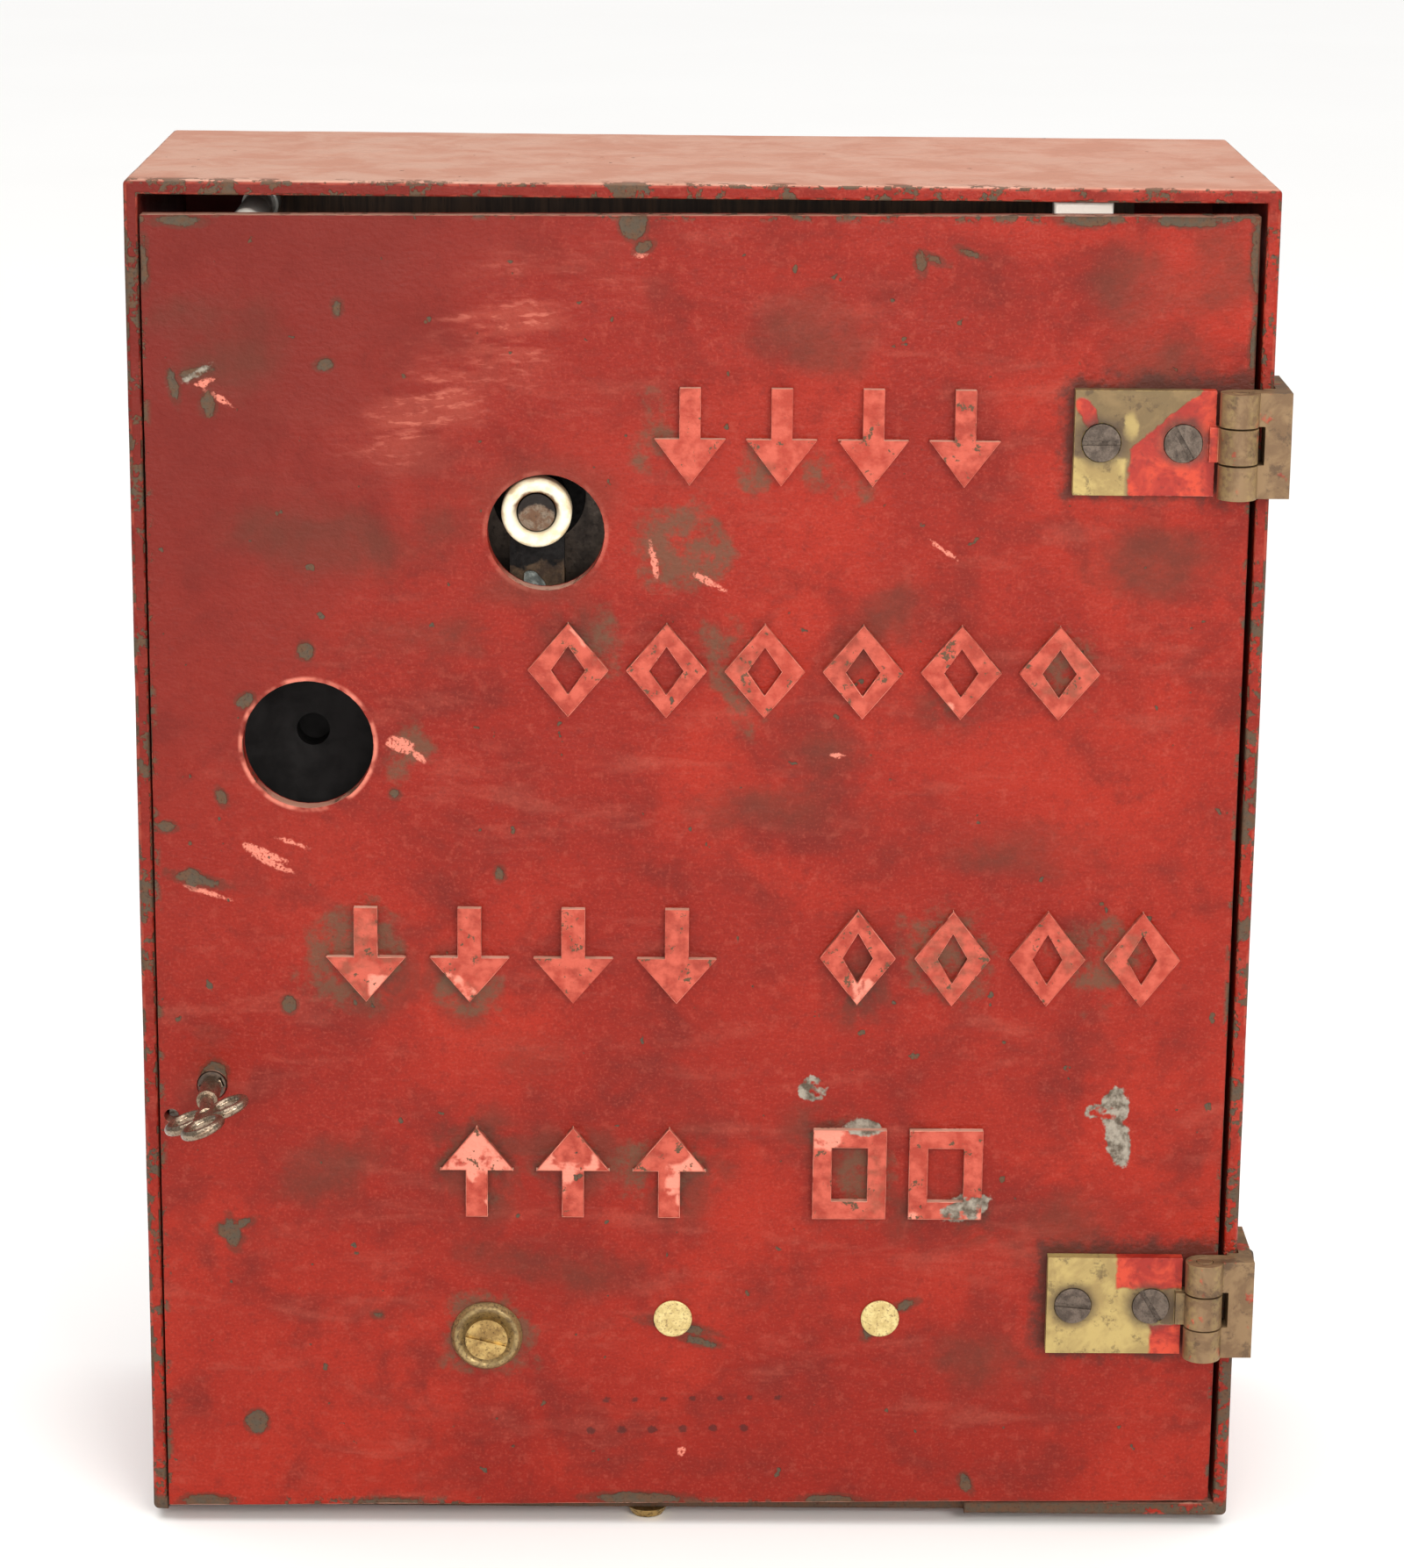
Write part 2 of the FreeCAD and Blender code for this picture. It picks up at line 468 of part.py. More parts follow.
ratchet_teeth = 24
saw = []
for n in range(ratchet_teeth):
    for turn, radius in ((0.0, 10.0), (0.92, 8.4)):
        angle = 2 * math.pi * (n + turn) / ratchet_teeth
        saw.append((radius * math.cos(angle), radius * math.sin(angle)))
keep("ratchet_wheel", [flat([saw], [(0, 0, SIZES["arbor_r"] + 0.05)], (AX, -62.7, AZ), 1.9)])
barrel = cut([rod(AX, -57.8, AZ, "barrel_r", 19.6)], [rod(AX, -56.6, AZ, "barrel_r - 1.2", 17.2),
                                                    rod(AX, -58, AZ, "arbor_r + 0.1", 21)])
keep("spring_barrel", [barrel])
strips = []
for n in range(12):
    side = 1 if n % 2 else -1
    radius = 5.0 + 1.25 * n
    ring = doc.addObject("Part::Cylinder", "half_turn")
    ring.Radius = radius
    ring.Height = 14.0
    ring.Angle = 180
    ring.Placement = FreeCAD.Placement(V(AX + side * 0.625, -55.0, AZ),
                                       FreeCAD.Rotation(V(0, 1, 0), 0 if side > 0 else 180)
                                       .multiply(FreeCAD.Rotation(V(1, 0, 0), -90)))
    strips.append(cut([ring], [rod(AX + side * 0.625, -56, AZ, radius - 0.5, 17)]))
keep("mainspring", [fuse(strips)])
keep("great_wheel", [toothed(SIZES["wheel_teeth"], SIZES["train_module"], 2.8, (AX, -37.4, AZ), 3.1)])

pinion_turn = 180 - SIZES["mesh_angle"] + 180 / SIZES["pinion_teeth"]
pinion = toothed(SIZES["pinion_teeth"], SIZES["train_module"], 5.2, (BX, -38.6, BZ), 1.0, 0.34, pinion_turn)
shaft_b = fuse([rod(BX, -63.3, BZ, 1.6, 39.2), rod(BX, -65.6, BZ, 1.05, 2.3), rod(BX, -24.1, BZ, 1.05, 2.3)])
keep("second_arbor", [fuse([pinion, shaft_b])])
keep("second_wheel", [toothed(SIZES["second_teeth"], SIZES["fly_module"], 2.2, (BX, -32.6, BZ), 1.65,
                                turn=-SIZES["fly_angle"])])
code = rod(BX, -61.2, BZ, "code_wheel_r", 2.0)
notches = []
for degrees in (20, 46, 72, 124, 150, 202, 228, 254, 280, 320):
    angle = math.radians(degrees)
    notches.append(rod(BX + 16.0 * math.cos(angle), -62, BZ + 16.0 * math.sin(angle), 2.2, 4))
keep("code_wheel", [cut([code], notches + [rod(BX, -62, BZ, 1.65, 4)])])
fly_turn = 180 - SIZES["fly_angle"] + 180 / SIZES["fly_teeth"]
fly_pinion = toothed(SIZES["fly_teeth"], SIZES["fly_module"], 4.4, (CX, -33.4, CZ), 0.8, 0.33, fly_turn)
shaft_c = fuse([rod(CX, -63.3, CZ, 1.3, 39.2), rod(CX, -65.6, CZ, 1.05, 2.3), rod(CX, -24.1, CZ, 1.05, 2.3)])
keep("fly_arbor", [fuse([fly_pinion, shaft_c])])
vane = [block(CX - 11.0, -56, CZ - 0.25, 22, 10, 0.5), rod(CX, -56, CZ, 2.1, 10)]
vane = cut(vane, [rod(CX, -57, CZ, 1.35, 14)])
keep("fly_vane", [vane])

# ---- click and its spring ---------------------------------------------------------------------
pawl = [(-3.2, -1.9), (10.0, -1.9), (14.3, 0.35), (14.3, 1.2), (10.0, 1.9), (-3.2, 1.9)]
keep("click", [flat([pawl], [(0, 0, 1.6)], (CLICK[0], -62.6, CLICK[1]), 1.8)])
keep("click_screw", [fuse([rod(CLICK[0], -66.9, CLICK[1], 2.8, 0.9),
                           rod(CLICK[0], -66, CLICK[1], 1.5, 5.4)])])
blade = flat([[(-40.5, 84.2), (-39.8, 84.4), (-46.2, 93.5), (-47.4, 93.5)]], [], (0, -62.8, 0), 2.4)
keep("click_spring", [fuse([blade, block(-51.0, -63.5, 92.2, 5.4, 3.4, 4.6)])])

# ---- pull lever -------------------------------------------------------------------------------
SX, SZ = -SIZES["pull_hole_x"], SIZES["pull_hole_z"]
arm_angle = math.atan2(SZ - PZ, SX - PX)
side = V(-math.sin(arm_angle), 0, math.cos(arm_angle))
wide, narrow = side * 6.5, side * 5.0
start, end = V(PX, 0, PZ), V(SX, 0, SZ)
tail = V(PX + 30.0, 0, PZ - 9.0)
HOOK_X, HOOK_Z, LOW_HOOK_Z = tail.x, tail.z, -24.0
arm = [start + wide, end + narrow, end - narrow, start - wide]
tail_side = V(0.29, 0, 0.957)
tail_arm = [start + tail_side * 6.0, start - tail_side * 6.0, tail - tail_side * 3.0, tail + tail_side * 3.0]
lever = [flat([[(p.x, p.z) for p in loop_points]], [], (0, -72, 0), 3.2) for loop_points in (arm, tail_arm)]
lever += [rod(PX, -72.4, PZ, 8.0, 4.0), rod(SX, -72, SZ, 10.0, 3.2), rod(HOOK_X, -77, HOOK_Z, 1.4, 6.0)]
keep("pull_lever", [cut(lever, [rod(PX, -74, PZ, 3.1, 8), rod(SX, -73, SZ, 5.05, 6)])])
socket = cut([rod(SX, -77, SZ, "socket_r", 5.0), rod(SX, -72, SZ, 5.0, 5.4)],
             [rod(SX, -78, SZ, "socket_bore_r", 10.5), cone(SX, -77.1, SZ, "socket_r - 1.1", 4.2, 3.9)])
keep("handle_socket", [soften(socket, 0.5, lambda e: e.CenterOfMass.y < -76.9)])
stud = cut([rod(PX, -76.2, PZ, 5.0, 1.8), rod(PX, -74.4, PZ, 3.0, 8.4), rod(PX, -66, PZ, 2.0, 4.2)],
           [block(PX - 6, -77, PZ - 0.5, 12, 1.6, 1.0)])
keep("lever_stud", [stud])
keep("spring_post", [fuse([rod(HOOK_X, -77, LOW_HOOK_Z, 1.4, 11), rod(HOOK_X, -66, LOW_HOOK_Z, 1.2, 4.0)])])
coil = doc.addObject("PartDesign::Body", "coil")
wire_end = drawing(coil, [], [(2.3, 0, 0.4)])
turns = coil.newObject("PartDesign::AdditiveHelix", "turns")
turns.Profile = wire_end
turns.ReferenceAxis = (origin_plane(coil, "Z_Axis"), [""])
turns.Mode = 0
turns.Pitch = 1.15
turns.Height = HOOK_Z - LOW_HOOK_Z - 5.2
place(coil, (HOOK_X, -74.4, LOW_HOOK_Z + 2.6))
eyes = []
for z in (HOOK_Z, LOW_HOOK_Z):
    eye = doc.addObject("Part::Torus", "eye")
    eye.Radius1 = 2.2
    eye.Radius2 = 0.4
    eyes.append(place(eye, (HOOK_X, -74.4, z), "y"))
keep("lever_spring", [coil] + eyes)

# ---- code contacts ----------------------------------------------------------------------------
post = cut([block(24, -63.5, 58, 12, 9.0, 24)], [rod(x, -64, z, 1.55, 12) for x, z in CONTACT_SCREWS])
keep("contact_block", [post])
keep("contact_screws", [screw(x, -67.5, z, 2.8, 1.5, 1.5, 10.8) for x, z in CONTACT_SCREWS])
finger = [block(BX - 0.6, -61.6, BZ + 17.6, 24.0 - BX, 3.0, 0.5), rod(BX, -61.6, BZ + 17.3, 0.8, 3.0),
          rod(23.2, -61.6, BZ + 17.85, 0.7, 3.0)]
keep("contact_spring", [fuse(finger)])
keep("fixed_contact", [fuse([block(BX + 6, -61.6, BZ + 21.2, 18 - BX, 3.0, 0.6),
                             rod(BX + 7, -61.6, BZ + 21.0, 0.8, 3.0)])])

# ---- arrester, insulators, terminals and wires ------------------------------------------------
ARRESTER_POSTS = [(52.0, 113.0), (82.0, 113.0)]
KNOB_X, KNOB_Z = -85.6, 124.5
bottom = block(44, -72, 104, 48, 10, 18)
web = block(65.6, -78, 110, 11.2, 8, 12)
lip = block(65.6, -81.6, 110, 11.2, 3.8, 20.2)
base = soften(fuse([bottom, web, lip]), 0.7, lambda edge: edge.CenterOfMass.y < -63 and edge.Length > 9.9)
keep("arrester_base", [cut([base], [rod(x, -77, z, 2.05, 18) for x, z in ARRESTER_POSTS])])
posts = [cut([rod(x, -62, z, 4.0, 50)], [rod(x, -63, z, 1.55, 9)]) for x, z in ARRESTER_POSTS]
keep("brass_posts", posts + [rod(KNOB_X, -44, KNOB_Z - 1.0, 2.2, 32)])
keep("arrester_screws", [screw(x, -75.6, z, 3.2, 1.6, 1.5, 18) for x, z in ARRESTER_POSTS])
keep("arrester_plates", [cut([block(x - 3.7, -74, 107, 7.4, 2, 12)], [rod(x, -75, 113, 1.6, 4)])
                         for x in (52.0, 82.0)])
knob = fuse([rod(KNOB_X, -78.4, KNOB_Z, 3.0, 30.4), ball(KNOB_X, -78.4, KNOB_Z, 3.0),
             rod(KNOB_X, -50.0, KNOB_Z, 3.6, 6)])
keep("porcelain_knob", [knob])

block_plain = soften(block(-64, -26, -118, 128, 14, 20), 1.0, lambda edge: edge.CenterOfMass.y < -25.9)
POSTS_X = [-45.0 + 18.0 * n for n in range(6)]
keep("terminal_block", [cut([block_plain], [rod(x, -27, z, 1.85, 16) for x, z in BLOCK_SCREWS]
                            + [rod(x, -27, -108, 1.6, 10) for x in POSTS_X])])
stems = [fuse([rod(x, -28, -108, 4.2, 2), rod(x, -40, -108, 1.8, 12), rod(x, -36, -108, 3.8, 5),
               rod(x, -26, -108, 1.5, 8)]) for x in POSTS_X]
keep("binding_posts", stems)


def tube(points, radius, bend):
    """Round wire along straight runs joined by bends."""
    runs = [V(*p) for p in points]
    edges = []
    last = runs[0]
    for before, here, after in zip(runs, runs[1:], runs[2:]):
        into, out = (here - before).normalize(), (after - here).normalize()
        half = into.getAngle(out) / 2
        setback = bend * math.tan(half)
        first, second = here - into * setback, here + out * setback
        inward = (out - into).normalize()
        middle = here + inward * (bend / math.cos(half) - bend)
        edges += [Part.makeLine(last, first), Part.Arc(first, middle, second).toShape()]
        last = second
    edges.append(Part.makeLine(last, runs[-1]))
    path = doc.addObject("Part::Feature", "path")
    path.Shape = Part.Wire(edges)
    ring = doc.addObject("Part::Circle", "ring")
    ring.Radius = radius
    turn = FreeCAD.Rotation(V(0, 0, 1), runs[1] - runs[0])
    ring.Placement = FreeCAD.Placement(runs[0], turn)
    doc.recompute()
    sweep = doc.addObject("Part::Sweep", "sweep")
    sweep.Sections = [ring]
    sweep.Spine = (path, [f"Edge{n + 1}" for n in range(len(edges))])
    sweep.Solid = True
    sweep.Frenet = False
    return sweep


left_run = tube([(-45, -30, -103.5), (-45, -30, -90), (-45, -17, -90), (-69, -17, -74), (-69, -17, 106),
                 (-83, -17, 110), (-83, -17, 118.2)], 1.1, 4.0)
right_run = tube([(45, -30, -103.5), (45, -30, -90), (45, -17, -90), (69, -17, -74), (69, -17, 96),
                  (69, -57, 96), (69, -57, 104)], 1.1, 4.0)
jumper = tube([(9, -30, -103.5), (9, -30, -92), (27, -30, -92), (27, -30, -103.5)], 1.1, 4.0)
keep("line_wires", [left_run, right_run, jumper])

# ---- check and write --------------------------------------------------------------------------
doc.recompute()
for thing in doc.Objects:
    if "Invalid" in thing.State or "Error" in thing.State:
        raise SystemExit(f"{thing.Name} did not build: {thing.State}")
for thing in pieces:
    shape = thing.Shape
    if shape.isNull() or not shape.isValid() or not shape.Solids:
        raise SystemExit(f"{thing.Label} has no valid solid")
    shape.exportStep(f"parts/{thing.Label}.step")
print(len(pieces), "pieces")
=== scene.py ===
"""Looks of the street fire alarm box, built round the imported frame."""

import json
import math

import bmesh
import bpy
from mathutils import Matrix, Vector, kdtree, noise


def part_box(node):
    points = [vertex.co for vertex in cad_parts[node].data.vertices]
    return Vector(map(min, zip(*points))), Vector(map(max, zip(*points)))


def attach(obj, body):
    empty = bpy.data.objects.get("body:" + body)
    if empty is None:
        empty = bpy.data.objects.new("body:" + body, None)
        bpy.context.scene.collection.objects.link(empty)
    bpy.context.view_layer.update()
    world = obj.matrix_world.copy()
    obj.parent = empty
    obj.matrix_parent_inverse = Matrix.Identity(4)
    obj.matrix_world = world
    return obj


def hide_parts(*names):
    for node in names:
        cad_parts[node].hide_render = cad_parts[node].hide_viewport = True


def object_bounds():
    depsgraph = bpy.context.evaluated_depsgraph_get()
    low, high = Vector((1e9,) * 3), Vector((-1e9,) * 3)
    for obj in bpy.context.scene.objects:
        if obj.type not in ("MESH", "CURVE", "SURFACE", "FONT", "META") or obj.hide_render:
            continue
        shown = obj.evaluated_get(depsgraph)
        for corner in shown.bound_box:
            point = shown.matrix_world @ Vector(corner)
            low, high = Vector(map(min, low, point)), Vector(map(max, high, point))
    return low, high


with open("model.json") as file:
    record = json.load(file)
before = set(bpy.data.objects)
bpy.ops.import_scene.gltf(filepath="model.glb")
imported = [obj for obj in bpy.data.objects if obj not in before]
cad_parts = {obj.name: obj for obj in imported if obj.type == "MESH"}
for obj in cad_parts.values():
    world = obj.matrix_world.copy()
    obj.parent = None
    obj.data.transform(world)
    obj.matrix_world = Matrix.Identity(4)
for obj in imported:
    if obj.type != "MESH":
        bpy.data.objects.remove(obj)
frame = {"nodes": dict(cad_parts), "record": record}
CAD_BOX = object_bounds()

MM = 0.001
CAD = frame["nodes"]
BODY_OF = {
    node: body
    for body, names in frame["record"]["behaviour"]["bodies"].items()
    for node in names
}

# places on the object, in millimetres
FRONT = -86.0  # the door's front plane, along Y
WINDING_HOLE = (-29.2, 67.5, 11.1)  # x, z and radius in the door
HANDLE_HOLE = (-74.7, 25.7, 12.5)
COLLAR = (-31.0, 0.0, 71.0)
UNSHADED_MIDDLE = (-31.0, 0.0, 68.6)  # middle of the arbor's end face, below its painted shadow
KEYHOLE = (-94.4, 0.0, -42.4)
LEAF_END, LEAF_MIDDLE, LEAF_HALF = 69.9, 86.45, 10.1  # hinge leaves: x of the end, and z
FLAT = (1.0, 0.0, 1.0)  # leaves out Y, for distances on the door's plane

FAR = 9.0  # fields stop growing at this distance
PAINT_LOSS = 0.16  # how deep a chip goes
COAT_ROUGHNESS = 0.2
FLOOR_GAP = 0.2


# ---- shapes --------------------------------------------------------------------------------------
def dent(point, depth, size):
    """How far, in metres, the surface at this point has been pushed in."""
    spot = point / (size * MM)
    value = 0.5 + 0.5 * noise.noise(spot) + 0.25 * noise.noise(spot * 3.1)
    return depth * MM * min(1.0, max(0.0, value))


def worn(name, material, bevel=0.4, segments=2, spacing=0.0, depth=0.0, size=30.0,
         finer=(), fields=None):
    """A copy of a CAD node with rounded edges and shallow dents, which is shown in its place.

    finer is a list of spots where the mesh is cut four times as fine. fields makes, from the mesh,
    a function of a point in millimetres for each attribute that the material reads."""
    mesh = CAD[name].data.copy()
    piece = bpy.data.objects.new(name + ".worn", mesh)
    bpy.context.scene.collection.objects.link(piece)
    bm = bmesh.new()
    bm.from_mesh(mesh)
    bmesh.ops.remove_doubles(bm, verts=bm.verts, dist=2e-6)
    bmesh.ops.dissolve_limit(
        bm, angle_limit=math.radians(1.0), verts=bm.verts, edges=bm.edges
    )
    if bevel:
        sharp = [
            e for e in bm.edges
            if e.is_manifold and e.calc_face_angle() > math.radians(32)
        ]
        bmesh.ops.bevel(
            bm, geom=sharp, offset=bevel * MM, offset_type="OFFSET", segments=segments,
            profile=0.5, affect="EDGES", clamp_overlap=True,
        )
    if spacing:
        low = Vector([min(v.co[k] for v in bm.verts) for k in range(3)])
        high = Vector([max(v.co[k] for v in bm.verts) for k in range(3)])
        for axis in range(3):
            count = int((high[axis] - low[axis]) / (spacing * MM))
            for n in range(1, count):
                place = low.copy()
                place[axis] = low[axis] + (high[axis] - low[axis]) * (n + 0.37) / (count + 0.5)
                normal = Vector([float(k == axis) for k in range(3)])
                bmesh.ops.bisect_plane(
                    bm, geom=bm.verts[:] + bm.edges[:] + bm.faces[:],
                    plane_co=place, plane_no=normal,
                )
    if finer:
        close = []
        for face in bm.faces:
            middle = face.calc_center_median() / MM
            if face.normal.y < -0.9 and near_a_spot(middle, finer, spacing + 0.6):
                close.append(face)
        edges = list({e for face in close for e in face.edges})
        bmesh.ops.subdivide_edges(bm, edges=edges, cuts=3, use_grid_fill=True)
    if depth:
        bm.normal_update()
        moves = [(v, v.normal * dent(v.co, depth, size)) for v in bm.verts]
        for v, move in moves:
            v.co -= move
    if fields:
        for label, value in fields(bm).items():
            layer = bm.verts.layers.float.new(label)
            for v in bm.verts:
                v[layer] = value(v.co / MM)
        flake = bm.verts.layers.float.get("chip")
        for v in bm.verts:
            if v[flake] < 0.0 and v.normal.y < -0.9:
                v.co.y += PAINT_LOSS * MM * min(1.0, -v[flake] / 0.4)
    bmesh.ops.triangulate(bm, faces=[f for f in bm.faces if len(f.verts) > 4])
    bm.to_mesh(mesh)
    bm.free()
    mesh.polygons.foreach_set("use_smooth", [True] * len(mesh.polygons))
    mesh.set_sharp_from_angle(angle=math.radians(40))
    weighted = piece.modifiers.new("even_shading", "WEIGHTED_NORMAL")
    weighted.keep_sharp = True
    mesh.materials.clear()
    mesh.materials.append(material)
    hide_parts(name)
    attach(piece, BODY_OF[name])


def off_spot(point, spot):
    """Millimetres from a point to the outline of an ellipse on the XZ plane, negative inside."""
    x, z, wide, high, turn = spot
    c, s = math.cos(math.radians(turn)), math.sin(math.radians(turn))
    dx, dz = point[0] - x, point[2] - z
    along, over = (dx * c + dz * s) / wide, (dz * c - dx * s) / high
    return (math.hypot(along, over) - 1.0) * min(wide, high)


def near_a_spot(point, spots, room):
    """Whether a point is in or close to one of the spots."""
    for x, z, wide, high, turn in spots:
        if math.hypot(point[0] - x, point[2] - z) < max(wide, high) + room:
            return True
    return False


def field_of(spots):
    """A function that gives the distance from a point to the nearest of these spots."""

    def value(point):
        return min(FAR, min(off_spot(point, spot) for spot in spots))

    return value


def from_marks(bm):
    """A function that gives the distance from a point to the outline of the raised marks."""
    sides = [v.co / MM for v in bm.verts if FRONT - 1.45 < v.co.y / MM < FRONT - 0.12]
    tree = kdtree.KDTree(len(sides))
    for n, place in enumerate(sides):
        tree.insert(place, n)
    tree.balance()

    def value(point):
        return min(FAR, tree.find(point)[2])

    return value


def door_fields(bm):
    """The distances that the door's paint reads at each point of its mesh."""
    return {
        "chip": field_of(DOOR_CHIPS), "grey": field_of(GREY_SPOTS), "pink": field_of(PINK_SPOTS),
        "brown": field_of(BROWN_CLOUDS), "cloud": field_of(DARK_CLOUDS), "mark": from_marks(bm),
        "dot": field_of(DOTS),
    }


def sleeve_catch():
    """Small steel catch on the sleeve's foot, seen at the bottom of the winding hole."""
    sunk, thick, rounding = 0.35 * MM, 0.9 * MM, 0.18 * MM
    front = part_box("guide_sleeve")[0].y + sunk
    outline = [(-33.8, 54.0), (-33.4, 58.7), (-32.9, 59.0), (-31.4, 58.9), (-29.4, 56.6), (-29.4, 54.0)]
    bm = bmesh.new()
    back = [bm.verts.new((x * MM, front, z * MM)) for x, z in outline]
    face = [bm.verts.new((v.co.x, front - thick, v.co.z)) for v in back]
    bm.faces.new(back)
    bm.faces.new(list(reversed(face)))
    for n in range(len(outline)):
        after = (n + 1) % len(outline)
        bm.faces.new((back[after], back[n], face[n], face[after]))
    bmesh.ops.recalc_face_normals(bm, faces=bm.faces)
    bmesh.ops.bevel(bm, geom=bm.edges[:], offset=rounding, segments=2, affect="EDGES")
    mesh = bpy.data.meshes.new("sleeve_catch")
    bm.to_mesh(mesh)
    bm.free()
    mesh.materials.append(BLUE_STEEL)
    piece = bpy.data.objects.new("sleeve_catch", mesh)
    bpy.context.scene.collection.objects.link(piece)
    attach(piece, BODY_OF["guide_sleeve"])


def finish_node(name, material):
    """Gives a CAD node that stays in view its material."""
    CAD[name].data.materials.clear()
    CAD[name].data.materials.append(material)


# ---- materials -----------------------------------------------------------------------------------
class Shade:
    """One node material. Places and sizes are millimetres in the object's own frame."""

    def __init__(self, name):
        self.material = bpy.data.materials.new(name)
        self.material.use_nodes = True
        self.tree = self.material.node_tree
        self.tree.nodes.clear()
        coords = self.add("ShaderNodeTexCoord")
        self.here = self.vector("SCALE", coords.outputs["Object"], scale=1000.0)
        self.facing = coords.outputs["Normal"]
        split = self.add("ShaderNodeSeparateXYZ", Vector=self.here)
        self.x, self.y, self.z = split.outputs
        split = self.add("ShaderNodeSeparateXYZ", Vector=self.facing)
        self.nx, self.ny, self.nz = split.outputs

    def add(self, kind, settings=(), **inputs):
        made = self.tree.nodes.new(kind)
        for key, value in dict(settings).items():
            setattr(made, key, value)
        for key, value in inputs.items():
            self.plug(made.inputs[key.replace("_", " ")], value)
        return made

    def plug(self, socket, value):
        if isinstance(value, bpy.types.NodeSocket):
            self.tree.links.new(value, socket)
        elif isinstance(value, tuple) and len(value) == 3 and socket.type == "RGBA":
            socket.default_value = (*value, 1.0)
        else:
            socket.default_value = value

    def math(self, operation, *values):
        made = self.tree.nodes.new("ShaderNodeMath")
        made.operation = operation
        for socket, value in zip(made.inputs, values):
            self.plug(socket, value)
        return made.outputs[0]

    def vector(self, operation, a, b=None, scale=None):
        made = self.tree.nodes.new("ShaderNodeVectorMath")
        made.operation = operation
        self.plug(made.inputs[0], a)
        if b is not None:
            self.plug(made.inputs[1], b)
        if scale is not None:
            made.inputs["Scale"].default_value = scale
        return made.outputs["Value" if operation == "LENGTH" else "Vector"]

    def step(self, value, start, end, low=0.0, high=1.0):
        """Smooth change from low to high as value goes from start to end."""
        made = self.add(
            "ShaderNodeMapRange", {"interpolation_type": "SMOOTHSTEP", "clamp": True}
        )
        for key, setting in enumerate((value, start, end, low, high)):
            self.plug(made.inputs[key], setting)
        return made.outputs[0]

    def noise(self, size, detail=3.0, rough=0.55, twist=0.0, at=None, colour=False):
        made = self.add(
            "ShaderNodeTexNoise", Vector=at or self.here, Scale=1.0 / size,
            Detail=detail, Roughness=rough, Distortion=twist,
        )
        return made.outputs["Color" if colour else "Fac"]

    def stretched(self, turn, scale):
        """The coordinates turned about Y and stretched."""
        made = self.add("ShaderNodeMapping", {"vector_type": "POINT"}, Vector=self.here)
        made.inputs["Rotation"].default_value = (0.0, math.radians(turn), 0.0)
        made.inputs["Scale"].default_value = scale
        return made.outputs[0]

    def shaken(self, size, amount, detail=3.0):
        """The coordinates shaken by noise, which makes a ragged outline."""
        shift = self.vector("SUBTRACT", self.noise(size, detail, colour=True), (0.5, 0.5, 0.5))
        return self.vector("ADD", self.here, self.vector("SCALE", shift, scale=2.0 * amount))

    def spots(self, spots, at, sharp):
        """A mask over a few ellipses on the XZ plane: (x, z, half width, half height, turn)."""
        nearest = None
        for x, z, wide, high, turn in spots:
            made = self.add("ShaderNodeMapping", {"vector_type": "TEXTURE"}, Vector=at)
            made.inputs["Location"].default_value = (x, 0.0, z)
            made.inputs["Rotation"].default_value = (0.0, math.radians(-turn), 0.0)
            made.inputs["Scale"].default_value = (wide, 1e6, high)
            near = self.vector("LENGTH", made.outputs[0])
            nearest = near if nearest is None else self.math("MINIMUM", nearest, near)
        return self.step(nearest, 1.0 + sharp, 1.0 - sharp)

    def field(self, label):
        """A number that the mesh carries at each point."""
        made = self.add("ShaderNodeAttribute", {"attribute_type": "GEOMETRY"})
        made.attribute_name = label
        return made.outputs["Fac"]

    def inside(self, label, size, ragged, soft, grow=0.0):
        """A mask inside a field's outline, which noise of this size makes ragged."""
        shake = self.math("MULTIPLY", self.math("SUBTRACT", self.noise(size, 4.0, 0.65), 0.5),
                          4.0 * ragged)
        return self.step(self.math("ADD", self.field(label), shake), grow + soft, grow - soft)

    def mix(self, share, a, b):
        """Colour a where share is 0, and colour b where it is 1."""
        made = self.add("ShaderNodeMix", {"data_type": "RGBA", "blend_type": "MIX"})
        self.plug(made.inputs[0], share)
        self.plug(made.inputs[6], a)
        self.plug(made.inputs[7], b)
        return made.outputs[2]

    def either(self, *masks):
        out = masks[0]
        for mask in masks[1:]:
            out = self.math("MAXIMUM", out, mask)
        return out

    def both(self, *masks):
        out = masks[0]
        for mask in masks[1:]:
            out = self.math("MULTIPLY", out, mask)
        return out

    def edges(self, start=0.985, end=0.9):
        """A mask over faces that are not square to an axis, so over rounded edges."""
        widest = self.either(
            self.math("ABSOLUTE", self.nx),
            self.math("ABSOLUTE", self.ny),
            self.math("ABSOLUTE", self.nz),
        )
        return self.step(widest, start, end)

    def bump(self, height, distance, before=None):
        """Relief of this height in millimetres, laid over the relief before it."""
        made = self.add("ShaderNodeBump", Height=height)
        made.inputs["Strength"].default_value = 1.0
        made.inputs["Distance"].default_value = distance * MM
        if before is not None:
            self.plug(made.inputs["Normal"], before)
        return made.outputs[0]

    def done(self, colour, roughness, normal=None, metallic=0.0, specular=0.5, coat=0.0):
        """The finished material."""
        shader = self.add("ShaderNodeBsdfPrincipled")
        self.plug(shader.inputs["Base Color"], colour)
        self.plug(shader.inputs["Roughness"], roughness)
        self.plug(shader.inputs["Metallic"], metallic)
        shader.inputs["Specular IOR Level"].default_value = specular
        shader.inputs["Coat Weight"].default_value = coat
        shader.inputs["Coat Roughness"].default_value = COAT_ROUGHNESS
        if normal is not None:
            self.plug(shader.inputs["Normal"], normal)
        out = self.add("ShaderNodeOutputMaterial")
        self.tree.links.new(shader.outputs[0], out.inputs["Surface"])
        return self.material


